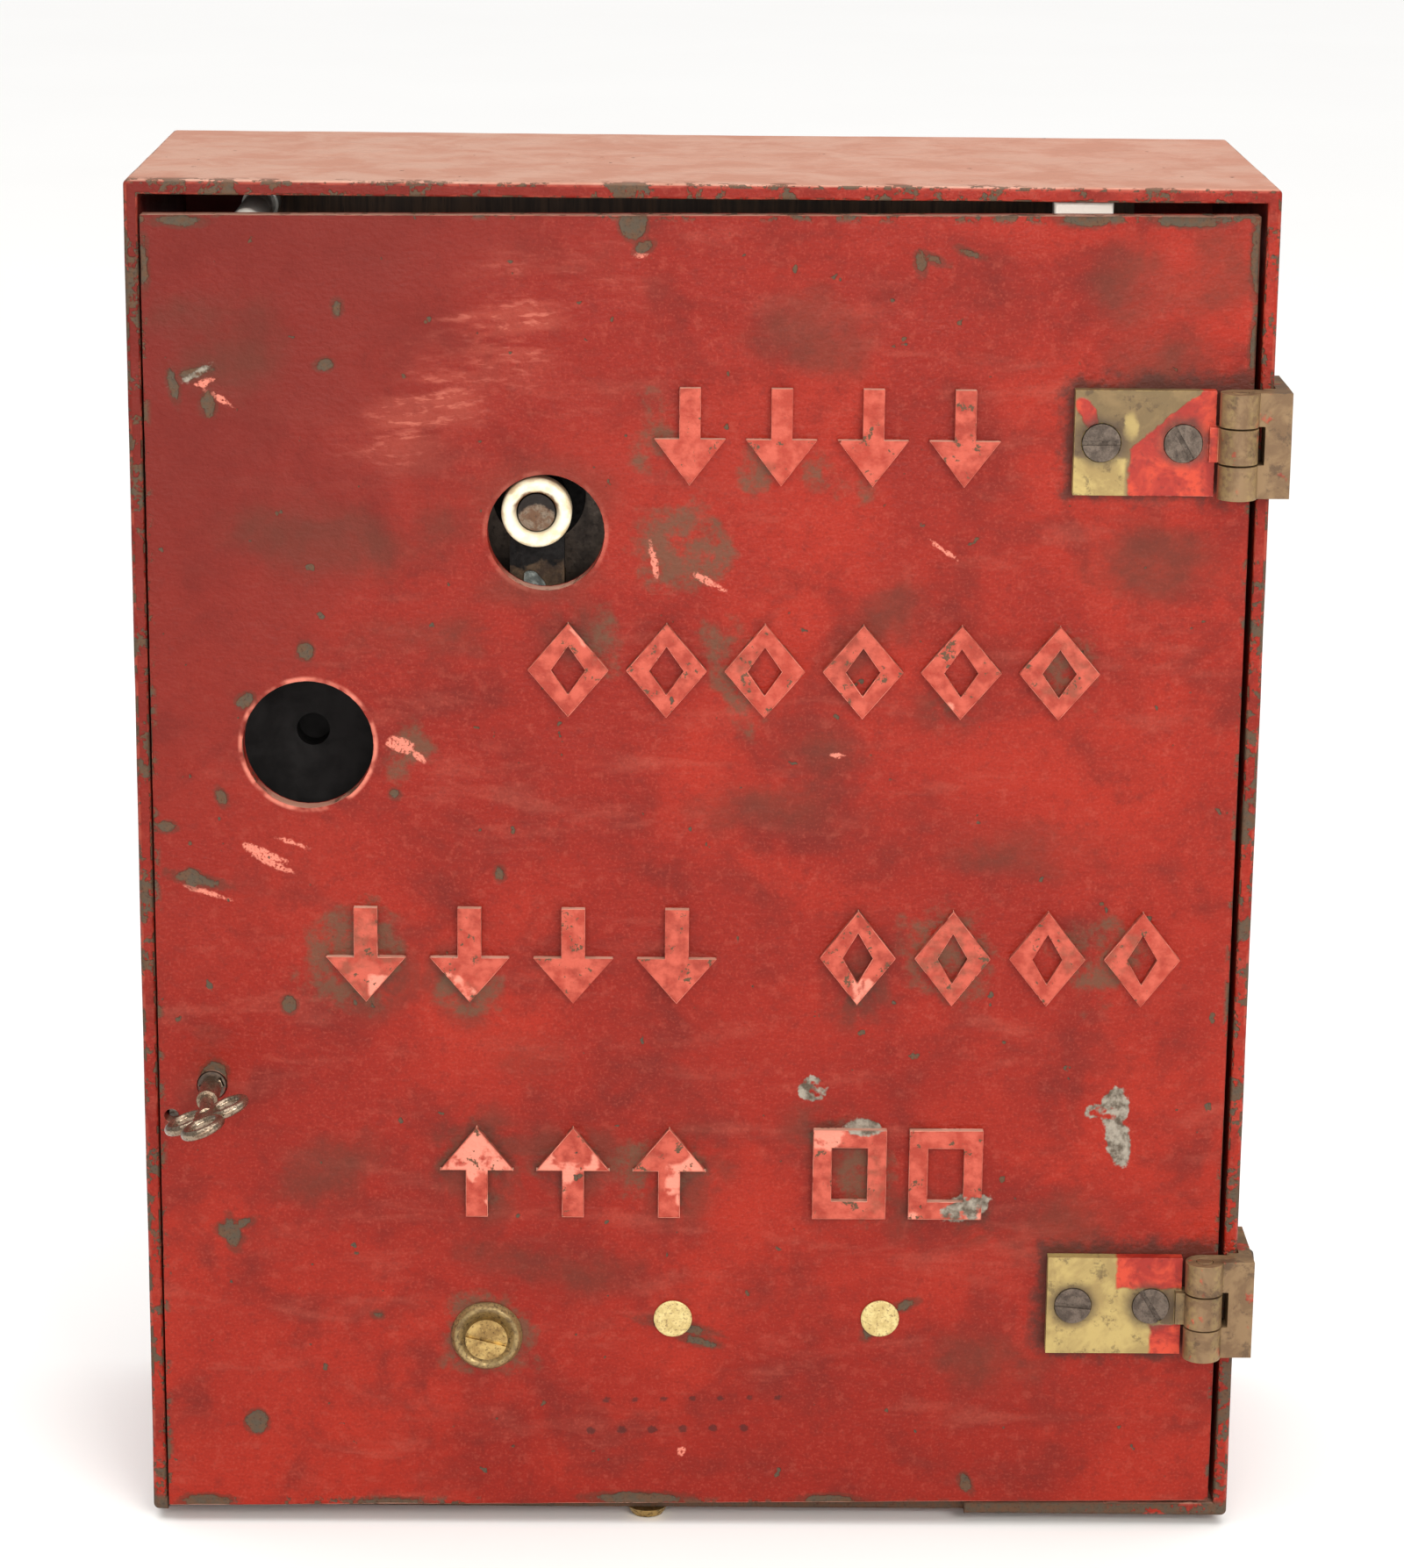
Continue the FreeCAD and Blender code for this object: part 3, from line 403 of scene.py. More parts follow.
RED = (0.222, 0.0105, 0.0042)
BRIGHT = (0.300, 0.0165, 0.0062)
DEEP = (0.125, 0.0105, 0.0065)
# pale red: faded paint, and also the colour of painted glare and painted highlights
PALE_RED = (0.37, 0.070, 0.044)
UNDERCOAT = (0.088, 0.024, 0.013)
BROWN = (0.105, 0.054, 0.030)
BARE = (0.078, 0.058, 0.040)
GREY = (0.30, 0.265, 0.215)
PINK = (0.62, 0.185, 0.130)
SOOT = (0.030, 0.012, 0.010)
IRON_TONES = ((0.0075, 0.0065, 0.0065), (0.0035, 0.003, 0.003))

# (x, z, half width, half height, turn) in millimetres
DOOR_CHIPS = [
    (-68.2, 110.0, 0.9, 1.3, 0), (-70.7, 99.2, 1.5, 1.1, 20), (-99.0, 94.9, 0.8, 2.6, 10),
    (40.7, 119.2, 1.0, 1.9, 0), (-13.0, 126.2, 2.6, 3.0, 0), (-11.0, 121.8, 1.6, 1.0, 30),
    (49.6, 121.2, 1.6, 0.5, -20), (43.5, 119.8, 1.6, 0.6, -25),
    (-75.0, 44.1, 1.5, 1.7, 0), (-91.6, 15.3, 1.0, 1.5, 25), (-58.2, 16.1, 0.9, 0.9, 0),
    (-102.1, 9.1, 1.6, 1.0, 0), (-96.4, -1.4, 4.4, 1.0, -12), (-97.5, -1.0, 1.6, 1.9, 10),
    (-91.5, -73.7, 2.6, 1.5, -25), (-91.0, -73.9, 1.3, 3.2, 10), (-88.8, -71.8, 1.8, 0.7, 25),
    (-86.7, -113.7, 2.2, 2.4, 0), (55.0, -126.0, 1.1, 2.0, 25), (-79.0, -26.5, 1.4, 1.6, 0),
    (-101.5, -50.8, 1.2, 0.8, 0), (-38.0, 0.3, 0.8, 1.2, 0), (-86.5, 34.4, 1.7, 1.3, 35),
    (-62.5, -90.8, 0.9, 0.6, 0), (36.0, -92.0, 1.3, 3.2, -30), (42.0, -88.2, 2.2, 0.8, 20),
    (-3.0, -92.8, 6.0, 1.0, -12), (1.5, -96.0, 3.0, 0.8, -12), (-94.0, -41.6, 2.6, 3.4, -20),
    (-95.0, 97.4, 3.0, 1.0, 15), (-92.6, 91.5, 1.3, 2.2, 0), (90.5, 127.6, 6.0, 1.2, 0),
    (71.5, 127.6, 4.2, 1.2, 0), (103.6, 121.0, 1.2, 7.0, 0), (103.8, 104.0, 1.0, 5.0, 0),
    (-97.5, 125.9, 4.0, 0.9, 0), (-104.2, 118.0, 0.9, 4.0, 0), (-11.0, -129.8, 9.0, 1.2, 0),
    (28.0, -129.9, 5.0, 1.1, 0), (-97.0, -131.0, 5.0, 1.4, 0), (-60.0, -131.0, 6.0, 0.9, 0),
]
GREY_SPOTS = [
    (23.2, -43.0, 2.9, 2.6, 0), (82.4, -46.4, 2.8, 4.2, -8), (83.3, -53.5, 2.4, 5.2, 10),
    (78.9, -47.2, 2.6, 1.4, 10), (53.5, -67.4, 5.0, 2.6, 20), (33.3, -50.6, 3.4, 1.5, 0),
    (-95.5, 97.0, 3.0, 0.6, 30),
]
PINK_SPOTS = [
    (-83.6, 4.1, 4.6, 0.9, -22), (-81.5, 1.8, 4.0, 0.6, -22), (-78.0, 6.2, 3.0, 0.5, -18),
    (-57.0, 25.8, 2.6, 1.5, -20), (-53.5, 23.4, 1.6, 0.6, -40), (-95.5, -3.6, 5.0, 0.5, -18),
    (-90.8, 92.8, 3.0, 0.6, -30), (-93.5, 95.6, 2.0, 0.5, 20), (1.5, 58.4, 3.2, 0.6, -30),
    (-8.6, 61.6, 0.6, 3.4, 10), (-12.0, 120.2, 1.5, 0.5, 0), (46.5, 64.5, 2.6, 0.35, -35),
    (-37.5, 67.2, 0.9, 0.7, 0), (27.0, 24.4, 1.4, 0.4, 0), (-2.0, -119.5, 0.8, 1.0, 0),
]
BROWN_CLOUDS = [
    (-3.8, 65.0, 9.0, 9.5, 10), (-7.5, 85.6, 3.6, 6.5, 0), (-17.0, 44.0, 3.0, 5.0, 0),
    (-56.2, 24.5, 3.2, 3.6, 0), (-67.0, -16.6, 9.0, 10.5, 0), (5.5, 41.0, 3.5, 9.0, 10),
    (49.0, -15.0, 9.0, 8.0, 0), (78.5, -15.8, 7.5, 8.0, 0), (-46.0, -23.5, 5.0, 3.5, 0),
    (24.0, 78.0, 7.0, 2.4, 0), (11.0, 79.0, 3.0, 4.0, 0), (-12.0, -60.0, 4.0, 5.0, 0),
    (34.0, -62.0, 4.6, 6.0, 0), (71.0, 42.0, 4.0, 6.0, 0), (-40.8, -95.0, 8.6, 8.6, 0),
]
DARK_CLOUDS = [
    (-71.0, 65.5, 17.0, 7.0, -8), (-88.7, 98.3, 10.0, 6.0, 20), (-91.8, 108.2, 9.0, 4.0, 0),
    (35.5, 52.2, 5.0, 7.0, 0), (30.0, 44.0, 4.0, 5.0, 0), (24.3, 25.4, 7.0, 4.0, 0),
    (-32.9, -36.9, 6.0, 4.0, 0), (81.8, 114.6, 9.0, 9.0, 0), (96.0, 118.0, 7.0, 8.0, 0),
    (22.0, 106.0, 11.0, 8.0, 0), (84.0, 62.0, 12.0, 8.0, 0), (86.0, 100.0, 10.0, 7.0, 0),
    (60.0, -100.0, 10.0, 5.0, 0), (-95.5, -41.5, 3.0, 5.5, 0), (-47.8, 68.5, 4.0, 3.0, 0),
    (14.0, 14.0, 14.0, 3.5, 4), (-52.0, 47.0, 8.0, 3.0, 0), (62.0, 6.0, 12.0, 4.0, 0),
    (-72.0, -60.0, 9.0, 7.0, 20), (-30.0, -80.0, 16.0, 4.0, -10), (72.0, -72.0, 10.0, 6.0, 0),
]
# two rows of plain punch dots
DOTS = [(-17.0 + 5.7 * n, -108.6 + 0.12 * n, 0.75, 0.55, 20) for n in range(7)] + [
    (-20.0 + 6.1 * n, -115.2 + 0.15 * n, 0.95, 0.80, 0) for n in range(6)
]


def paint(name, front):
    """Old red gloss paint on cast iron, with painted shade towards the upper left. front adds the
    door's own marks of wear, and painted glare, highlights and shade.
    """
    s = Shade(name)
    broad = s.noise(52.0, 3.0, 0.6, 0.6)
    middle = s.noise(15.0, 4.0, 0.62, 0.4)
    fine = s.noise(2.4, 3.0, 0.6)
    grit = s.noise(0.55, 2.0, 0.6)
    streak = s.noise(9.0, 4.0, 0.6, 0.3, at=s.stretched(38, (0.35, 1.0, 1.5)))
    colour = s.mix(s.step(broad, 0.38, 0.64), RED, BRIGHT)
    murk = s.step(s.math("ADD", middle, s.math("MULTIPLY", streak, 0.35)), 0.60, 0.92)
    colour = s.mix(s.both(murk, 0.75), colour, DEEP)
    colour = s.mix(s.both(s.step(streak, 0.54, 0.74), 0.30), colour, PALE_RED)
    colour = s.mix(s.both(s.step(fine, 0.54, 0.72), 0.30), colour, DEEP)
    colour = s.mix(s.both(s.step(fine, 0.45, 0.30), 0.20), colour, PALE_RED)
    colour = s.mix(s.both(s.step(grit, 0.52, 0.70), 0.30), colour, DEEP)
    colour = s.mix(s.both(s.step(grit, 0.46, 0.30), 0.24), colour, PALE_RED)
    rounded = s.edges()
    # painted shade: the paint is darkened towards the upper left, where less light falls
    corner = s.math("ADD", s.math("MULTIPLY", s.x, -0.75), s.math("MULTIPLY", s.z, 0.55))
    corner = s.math("ADD", corner, s.step(broad, 0.3, 0.7, -22.0, 22.0))
    colour = s.mix(s.step(corner, 35.0, 140.0, 0.0, 0.85), colour, DEEP)
    if front:
        face = s.both(s.step(s.y, FRONT + 1.2, FRONT + 0.6), s.step(s.ny, -0.2, -0.7))
        clouds = s.inside("cloud", 12.0, 3.6, 4.2, -0.6)
        colour = s.mix(s.both(clouds, face, s.step(middle, 0.28, 0.62, 0.25, 0.66)), colour,
                       UNDERCOAT)
        off_mark = s.math("ADD", s.field("mark"), s.math(
            "MULTIPLY", s.math("SUBTRACT", s.noise(3.0, 4.0, 0.7), 0.5), 3.4))
        level = s.step(s.y, FRONT - 0.9, FRONT - 0.4)
        murky = s.both(s.step(s.field("mark"), 8.5, 3.0), level, face,
                       s.step(s.noise(9.0, 4.0, 0.65, 0.5), 0.36, 0.58))
        colour = s.mix(s.both(murky, 0.60), colour, UNDERCOAT)
        # dark ground hugging the raised marks: dirt, and partly painted shade at their foot
        ground = s.both(s.step(off_mark, 3.1, 0.5), level, face)
        colour = s.mix(s.both(ground, 0.92), colour, (0.058, 0.020, 0.012))
        colour = s.mix(s.both(ground, s.step(s.noise(4.0, 4.0, 0.7), 0.50, 0.58), 0.75),
                       colour, BROWN)
        brown = s.both(s.inside("brown", 7.0, 4.6, 1.8), face,
                       s.step(s.noise(4.0, 4.0, 0.75), 0.34, 0.60))
        colour = s.mix(s.both(brown, 0.80), colour, BROWN)
        # darker round the hinge leaves: dirt, and partly a painted shadow that the leaves cast
        across = s.math("MAXIMUM", s.math("SUBTRACT", LEAF_END, s.x), 0.0)
        over = s.math("ABSOLUTE", s.math("SUBTRACT", s.math("ABSOLUTE", s.z), LEAF_MIDDLE))
        over = s.math("MAXIMUM", s.math("SUBTRACT", over, LEAF_HALF), 0.0)
        off_leaf = s.math("SQRT", s.math("ADD", s.both(across, across), s.both(over, over)))
        off_leaf = s.math("ADD", off_leaf, s.step(s.noise(5.0, 4.0, 0.7), 0.3, 0.7, -1.5, 1.8))
        grime_and_shadow = s.both(s.step(off_leaf, 3.8, 0.2), face)
        colour = s.mix(s.both(grime_and_shadow, 0.80), colour, (0.052, 0.018, 0.012))
        # the raised marks' tops lightened: worn paint, and partly a painted highlight
        tops = s.both(s.step(s.y, FRONT - 1.0, FRONT - 1.5), face)
        colour = s.mix(s.both(tops, s.step(s.noise(3.0), 0.36, 0.66, 0.35, 1.0)), colour,
                       (0.48, 0.090, 0.058))
        # pale pink borders and shoulders of the marks: worn paint, and partly a painted highlight
        border = s.both(tops, s.step(s.math("ADD", s.field("mark"), s.both(fine, 1.2)), 1.7, 0.9))
        shoulder = s.both(rounded, s.step(s.y, FRONT - 0.35, FRONT - 1.0))
        worn_and_highlit_edges = s.both(s.either(border, shoulder), s.step(s.noise(3.5, 3.0, 0.6), 0.34, 0.50))
        colour = s.mix(s.both(worn_and_highlit_edges, 0.90), colour, (0.72, 0.25, 0.18))
        top_wear = s.either(tops, s.step(s.y, FRONT - 0.1, FRONT - 0.5))
        colour = s.mix(s.both(top_wear, face, s.step(s.noise(3.8, 4.0, 0.75), 0.585, 0.63)),
                       colour, BROWN)
        # pale pink lips round the two holes: worn paint, and partly a painted highlight
        for (x, z, radius), share in ((WINDING_HOLE, 0.30), (HANDLE_HOLE, 0.85)):
            off = s.vector("SUBTRACT", s.here, (x, 0.0, z))
            off = s.vector("MULTIPLY", off, FLAT)
            lip = s.step(s.vector("LENGTH", off), radius + 1.15, radius + 0.45)
            lip = s.both(lip, face, s.step(s.noise(7.0), 0.42, 0.58), share)
            colour = s.mix(lip, colour, PINK)
        soot = s.both(s.spots([(-29.2, 74.0, 12.5, 7.0, 0), (-30.5, 58.0, 11.0, 4.0, 10)],
                              s.shaken(5.0, 2.0, 4.0), 0.5), face)
        colour = s.mix(s.both(soot, 0.45), colour, UNDERCOAT)
        spots = s.both(s.inside("dot", 1.0, 0.25, 0.2), face)
        colour = s.mix(s.both(spots, 0.62), colour, SOOT)
        # painted glare: a pale sheen over the upper left of the door, with short pink painted glints in
        # it
        painted_glare = s.both(s.spots([(-34.0, 107.0, 20.0, 9.0, 25), (-50.0, 93.0, 15.0, 7.0, 35)],
                              s.shaken(14.0, 7.0, 4.0), 0.8), s.step(streak, 0.40, 0.62), face)
        colour = s.mix(s.both(painted_glare, 0.42), colour, PALE_RED)
        painted_glints = s.noise(1.5, 3.0, 0.6, 0.2, at=s.stretched(24, (0.36, 1.0, 1.2)))
        colour = s.mix(s.both(painted_glare, s.step(painted_glints, 0.52, 0.66), 0.38), colour, PINK)
        pink = s.both(s.inside("pink", 1.6, 0.35, 0.16), face)
        colour = s.mix(s.both(pink, s.step(grit, 0.34, 0.5)), colour, PINK)
        halo = s.both(s.inside("chip", 2.0, 0.5, 0.35, 0.5), face)
        colour = s.mix(s.both(halo, 0.6), colour, UNDERCOAT)
        chips = s.both(s.inside("chip", 1.8, 0.45, 0.12), face)
        greys = s.both(s.inside("grey", 2.4, 0.6, 0.2), face)
        rim = s.either(
            s.step(s.x, -103.0, -104.5), s.step(s.x, 102.6, 103.7),
            s.step(s.z, 126.2, 127.6), s.step(s.z, -129.0, -131.0),
        )
        rim = s.both(rim, s.step(s.noise(4.6, 4.0, 0.7), 0.54, 0.60))
        chips = s.either(chips, rim)
    else:
        wear = s.noise(8.5, 4.0, 0.75)
        chips = s.both(s.step(s.y, -79.0, -84.2), s.step(wear, 0.525, 0.565))
        foot = s.both(s.step(s.z, -129.5, -131.0), s.step(s.y, -78.0, -82.0),
                      s.step(s.math("ADD", wear, s.step(s.x, 40.0, 100.0, 0.30, 0.08)), 0.50, 0.54))
        chips = s.either(chips, foot)
        greys = None
    # rounded edges paler: worn paint, and partly a painted highlight
    colour = s.mix(s.both(rounded, s.step(s.noise(5.0, 3.0), 0.42, 0.56), 0.55), colour, PALE_RED)
    edge_wear = s.both(rounded, s.step(s.noise(4.2, 4.0, 0.75), 0.515, 0.56))
    if front:
        edge_wear = s.both(edge_wear, s.step(s.y, FRONT - 0.2, FRONT + 0.2))
    specks = s.step(s.noise(3.1, 2.0, 0.5), 0.735, 0.76)
    chips = s.either(chips, edge_wear, specks)
    chip_colour = s.mix(s.step(s.noise(1.6, 3.0, 0.6), 0.35, 0.65), BARE, BROWN)
    chip_colour = s.mix(s.both(s.step(grit, 0.55, 0.7), 0.5), chip_colour, SOOT)
    colour = s.mix(chips, colour, chip_colour)
    if greys is not None:
        grey = s.mix(s.step(fine, 0.35, 0.65), GREY, BARE)
        colour = s.mix(s.both(greys, s.step(s.noise(4.0, 3.0, 0.6), 0.36, 0.46)), colour, grey)
        chips = s.either(chips, s.both(greys, 0.5))
    # upward faces paler: dust, and partly a painted sheen from the light above
    dust_and_sheen = s.both(s.step(s.nz, 0.55, 0.95), 0.80)
    dust_and_sheen_colour = s.mix(s.step(middle, 0.36, 0.64), (0.62, 0.37, 0.275), (0.53, 0.27, 0.19))
    colour = s.mix(s.both(dust_and_sheen, s.math("SUBTRACT", 1.0, s.both(chips, 0.8))), colour, dust_and_sheen_colour)
    roughness = s.math("ADD", s.step(middle, 0.3, 0.7, 0.40, 0.56), s.step(chips, 0, 1, 0.0, 0.2))
    lumps = s.noise(6.0, 2.0, 0.5)
    peel = s.noise(1.25, 2.0, 0.55, 0.2, at=s.stretched(38, (0.8, 1.0, 1.25)))
    normal = s.bump(lumps, 0.30)
    normal = s.bump(peel, 0.20, normal)
    normal = s.bump(grit, 0.06, normal)
    normal = s.bump(s.math("SUBTRACT", 1.0, chips), 0.16, normal)
    return s.done(colour, roughness, normal, specular=0.18)


def metal(name, clean, tarnish, dark, size=5.0, shine=(0.30, 0.55), metallic=0.9):
    """Aged metal: clean on its edges, tarnished on its faces, dark in its pits."""
    s = Shade(name)
    blotch = s.noise(size, 4.0, 0.65, 0.4)
    fine = s.noise(size * 0.2, 3.0, 0.6)
    colour = s.mix(s.step(blotch, 0.36, 0.62), clean, tarnish)
    colour = s.mix(s.both(s.step(fine, 0.52, 0.70), 0.75), colour, dark)
    colour = s.mix(s.both(s.edges(0.97, 0.80), s.step(fine, 0.62, 0.40)), colour, clean)
    roughness = s.math("ADD", s.step(blotch, 0.3, 0.7, *shine), s.step(fine, 0.4, 0.8, 0.0, 0.12))
    normal = s.bump(s.noise(size * 0.6, 3.0, 0.6), 0.10)
    normal = s.bump(fine, 0.06, normal)
    return s.done(colour, roughness, normal, metallic=metallic)


def hinge_metal():
    """Brass hinge leaves that were painted over, and where the red has come away in places."""
    s = Shade("hinge_brass")
    olive, yellow, dirt = (0.150, 0.100, 0.045), (0.42, 0.315, 0.115), (0.050, 0.028, 0.018)
    red, orange = (0.285, 0.016, 0.009), (0.50, 0.050, 0.022)
    blotch = s.noise(7.0, 4.0, 0.65, 0.5)
    fine = s.noise(1.3, 3.0, 0.6)
    ragged = s.shaken(3.0, 1.0, 4.0)
    split = s.add("ShaderNodeSeparateXYZ", Vector=ragged)
    rx, rz = split.outputs[0], split.outputs[2]
    upper = s.step(s.z, -1.0, 1.0)
    lower = s.math("SUBTRACT", 1.0, upper)
    leaf = s.step(s.x, 97.4, 96.6)
    base = s.mix(s.step(blotch, 0.40, 0.60), olive, (0.205, 0.135, 0.062))
    wrapped = s.mix(s.step(blotch, 0.40, 0.60), (0.150, 0.088, 0.044), (0.225, 0.142, 0.072))
    base = s.mix(leaf, wrapped, base)
    light = s.mix(s.step(blotch, 0.35, 0.62), yellow, (0.29, 0.205, 0.078))
    bright = s.either(
        s.both(upper, s.step(rz, 83.6, 82.6), s.step(rx, 80.5, 79.5)),
        s.both(upper, s.spots([(80.6, 89.2, 1.3, 2.6, 0)], ragged, 0.3), 0.7),
        s.both(lower, s.step(rx, 93.4, 92.4)),
    )
    base = s.mix(s.both(bright, leaf), base, light)
    base = s.mix(s.both(s.step(s.noise(3.4, 4.0, 0.7), 0.54, 0.66), 0.55), base, dirt)
    slope = s.math("MAXIMUM", 0.0, s.math("SUBTRACT", rz, 85.0))
    diagonal = s.math("ADD", 80.6, s.math("MULTIPLY", slope, 1.2))
    over = s.math("SUBTRACT", rx, diagonal)
    painted = s.either(
        s.both(upper, s.step(over, -0.3, 0.3), leaf),
        s.both(upper, s.spots([(72.4, 91.8, 1.7, 3.3, 25)], ragged, 0.12)),
        s.both(lower, s.step(rx, 83.3, 84.0), s.step(rz, -83.6, -82.9), leaf),
        s.both(lower, s.step(rx, 90.2, 91.0), s.step(rz, -90.5, -91.0), leaf),
        s.both(s.step(s.x, 103.0, 105.0), s.step(s.noise(6.0, 3.0, 0.6), 0.585, 0.64), 0.75),
        s.both(s.step(s.x, 97.0, 98.0), s.step(s.x, 101.0, 99.5),
               s.step(s.noise(3.0, 3.0, 0.6), 0.62, 0.68), 0.6),
    )
    coat = s.mix(s.step(blotch, 0.40, 0.62), red, orange)
    coat = s.mix(s.both(s.step(fine, 0.5, 0.7), 0.5), coat, (0.15, 0.012, 0.009))
    colour = s.mix(painted, base, coat)
    halo = s.spots(
        [(75.2, 86.2, 4.9, 4.6, 0), (90.6, 86.2, 4.6, 4.6, 0), (75.2, -86.7, 4.6, 4.4, 0),
         (90.6, -86.9, 5.2, 4.4, -15)], ragged, 0.32)
    colour = s.mix(s.both(halo, 0.80), colour, dirt)
    # paler edges: rubbed brass and worn coat, and partly a painted highlight
    rim = s.both(s.edges(0.98, 0.86), s.step(fine, 0.58, 0.42), s.either(leaf, 0.35))
    colour = s.mix(s.both(rim, 0.6), colour, s.mix(painted, yellow, (0.62, 0.20, 0.15)))
    shiny = s.math("SUBTRACT", 1.0, s.either(painted, halo))
    normal = s.bump(s.noise(5.0, 3.0, 0.6), 0.20)
    normal = s.bump(painted, 0.12, normal)
    normal = s.bump(fine, 0.06, normal)
    return s.done(colour, s.step(blotch, 0.3, 0.7, 0.40, 0.60), normal,
                  metallic=s.math("MULTIPLY", shiny, 0.18), specular=0.30)


def ivory():
    """Yellowed ivory-coloured bushing with a brown stained bore, which a painted shadow darkens towards
    its top.
    """
    s = Shade("ivory")
    off = s.vector("MULTIPLY", s.vector("SUBTRACT", s.here, COLLAR), FLAT)
    out = s.vector("LENGTH", off)
    stain = s.noise(3.0, 4.0, 0.6)
    colour = s.mix(s.step(stain, 0.40, 0.68), (0.86, 0.80, 0.60), (0.66, 0.54, 0.33))
    ring = s.math("ADD", out, s.step(stain, 0.3, 0.7, -0.3, 0.5))
    # painted shadow: the bore's stain is made darker towards the top, where the collar's upper edge
    # shades it
    high = s.step(s.z, 69.5, 73.0, 0.30, 1.0)
    colour = s.mix(s.both(s.step(ring, 4.9, 3.9), high), colour, (0.16, 0.070, 0.030))
    colour = s.mix(s.both(s.step(ring, 6.0, 6.7), 0.35), colour, (0.50, 0.36, 0.20))
    normal = s.bump(s.noise(1.2), 0.05)
    return s.done(colour, s.step(stain, 0.3, 0.7, 0.28, 0.45), normal, coat=0.2)


def lock_face():
    """The lock's plug: painted over with the door, and worn bare in the middle."""
    s = Shade("lock_face")
    off = s.vector("MULTIPLY", s.vector("SUBTRACT", s.here, KEYHOLE), FLAT)
    out = s.math("ADD", s.vector("LENGTH", off), s.step(s.noise(1.8, 4.0, 0.7), 0.2, 0.8, -1.4, 1.4))
    fine = s.noise(1.0, 3.0, 0.6)
    bare = s.mix(s.step(fine, 0.4, 0.6), (0.055, 0.036, 0.026), (0.105, 0.070, 0.050))
    red = s.mix(s.step(fine, 0.4, 0.6), RED, DEEP)
    colour = s.mix(s.step(out, 2.6, 3.6), bare, red)
    return s.done(colour, s.step(fine, 0.3, 0.7, 0.45, 0.6), s.bump(fine, 0.06), specular=0.3)


def plain(name, light, dark, size, rough, bump_mm=0.05, coat=0.0, specular=0.5):
    """Two tones in soft blotches with a fine grain, for porcelain, rubber and black iron."""
    s = Shade(name)
    blotch = s.noise(size, 4.0, 0.6, 0.3)
    fine = s.noise(size * 0.15, 3.0, 0.6)
    colour = s.mix(s.step(blotch, 0.36, 0.64), light, dark)
    colour = s.mix(s.both(s.step(fine, 0.55, 0.72), 0.4), colour, dark)
    colour = s.mix(s.both(s.edges(), s.step(fine, 0.6, 0.4), 0.5), colour, light)
    roughness = s.step(blotch, 0.3, 0.7, rough - 0.06, rough + 0.08)
    normal = s.bump(fine, bump_mm, s.bump(blotch, bump_mm * 3))
    return s.done(colour, roughness, normal, coat=coat, specular=specular)


def arbor_end():
    """Browned steel, with a painted shadow, nearly black, in a crescent along the top of its end face.
    """
    s = Shade("brown_steel")
    blotch = s.noise(1.8, 4.0, 0.65, 0.4)
    fine = s.noise(0.5, 3.0, 0.6)
    colour = s.mix(s.step(blotch, 0.40, 0.60), (0.170, 0.125, 0.088), (0.120, 0.060, 0.032))
    colour = s.mix(s.both(s.step(fine, 0.5, 0.7), 0.5), colour, (0.055, 0.034, 0.022))
    off = s.vector("MULTIPLY", s.vector("SUBTRACT", s.here, UNSHADED_MIDDLE), FLAT)
    out = s.math("ADD", s.vector("LENGTH", off), s.step(blotch, 0.3, 0.7, -0.25, 0.25))
    # painted shadow: outside a circle round the middle, the top of the end face is made nearly black
    colour = s.mix(s.step(out, 3.5, 4.2), colour, (0.010, 0.006, 0.004))
    return s.done(colour, s.step(blotch, 0.3, 0.7, 0.5, 0.7), s.bump(fine, 0.05),
                  metallic=0.15, specular=0.3)


def greasy_iron():
    """Black iron with brown dried grease on the sleeve's foot, below the winding arbor."""
    s = Shade("greasy_iron")
    patch = s.noise(3.0, 4.0, 0.7)
    fine = s.noise(0.9, 3.0, 0.6)
    black = s.mix(s.step(patch, 0.4, 0.6), *IRON_TONES)
    grease = s.mix(s.step(patch, 0.38, 0.62), (0.075, 0.048, 0.028), (0.030, 0.019, 0.013))
    height = s.math("ADD", s.z, s.step(s.noise(4.0, 3.0, 0.6), 0.3, 0.7, -1.5, 1.5))
    colour = s.mix(s.step(height, 60.6, 59.4), black, grease)
    return s.done(colour, s.step(fine, 0.3, 0.7, 0.50, 0.75), s.bump(patch, 0.25),
                  specular=0.12)


def wood():
    """Varnished board with grain along Z."""
    s = Shade("board_wood")
    grain = s.noise(3.0, 5.0, 0.6, 1.2, at=s.stretched(0, (1.0, 1.0, 0.07)))
    pores = s.noise(0.6, 2.0, 0.6, 0.0, at=s.stretched(0, (1.0, 1.0, 0.10)))
    colour = s.mix(s.step(grain, 0.34, 0.66), (0.20, 0.090, 0.038), (0.075, 0.030, 0.014))
    colour = s.mix(s.both(s.step(pores, 0.58, 0.7), 0.7), colour, (0.03, 0.012, 0.006))
    normal = s.bump(pores, 0.06, s.bump(grain, 0.12))
    return s.done(colour, s.step(grain, 0.3, 0.7, 0.32, 0.46), normal, coat=0.3)


def braid():
    """Cotton covered wire: a fine diagonal weave."""
    s = Shade("wire_cover")
    made = s.add("ShaderNodeTexChecker", Vector=s.stretched(45, (1.0, 1.0, 1.0)), Scale=2.2)
    weave = made.outputs["Fac"]
    dirt = s.noise(4.0, 3.0, 0.6)
    colour = s.mix(weave, (0.10, 0.075, 0.045), (0.17, 0.125, 0.075))
    colour = s.mix(s.step(dirt, 0.5, 0.7), colour, (0.045, 0.030, 0.020))
    return s.done(colour, s.step(dirt, 0.3, 0.7, 0.75, 0.95), s.bump(weave, 0.08))


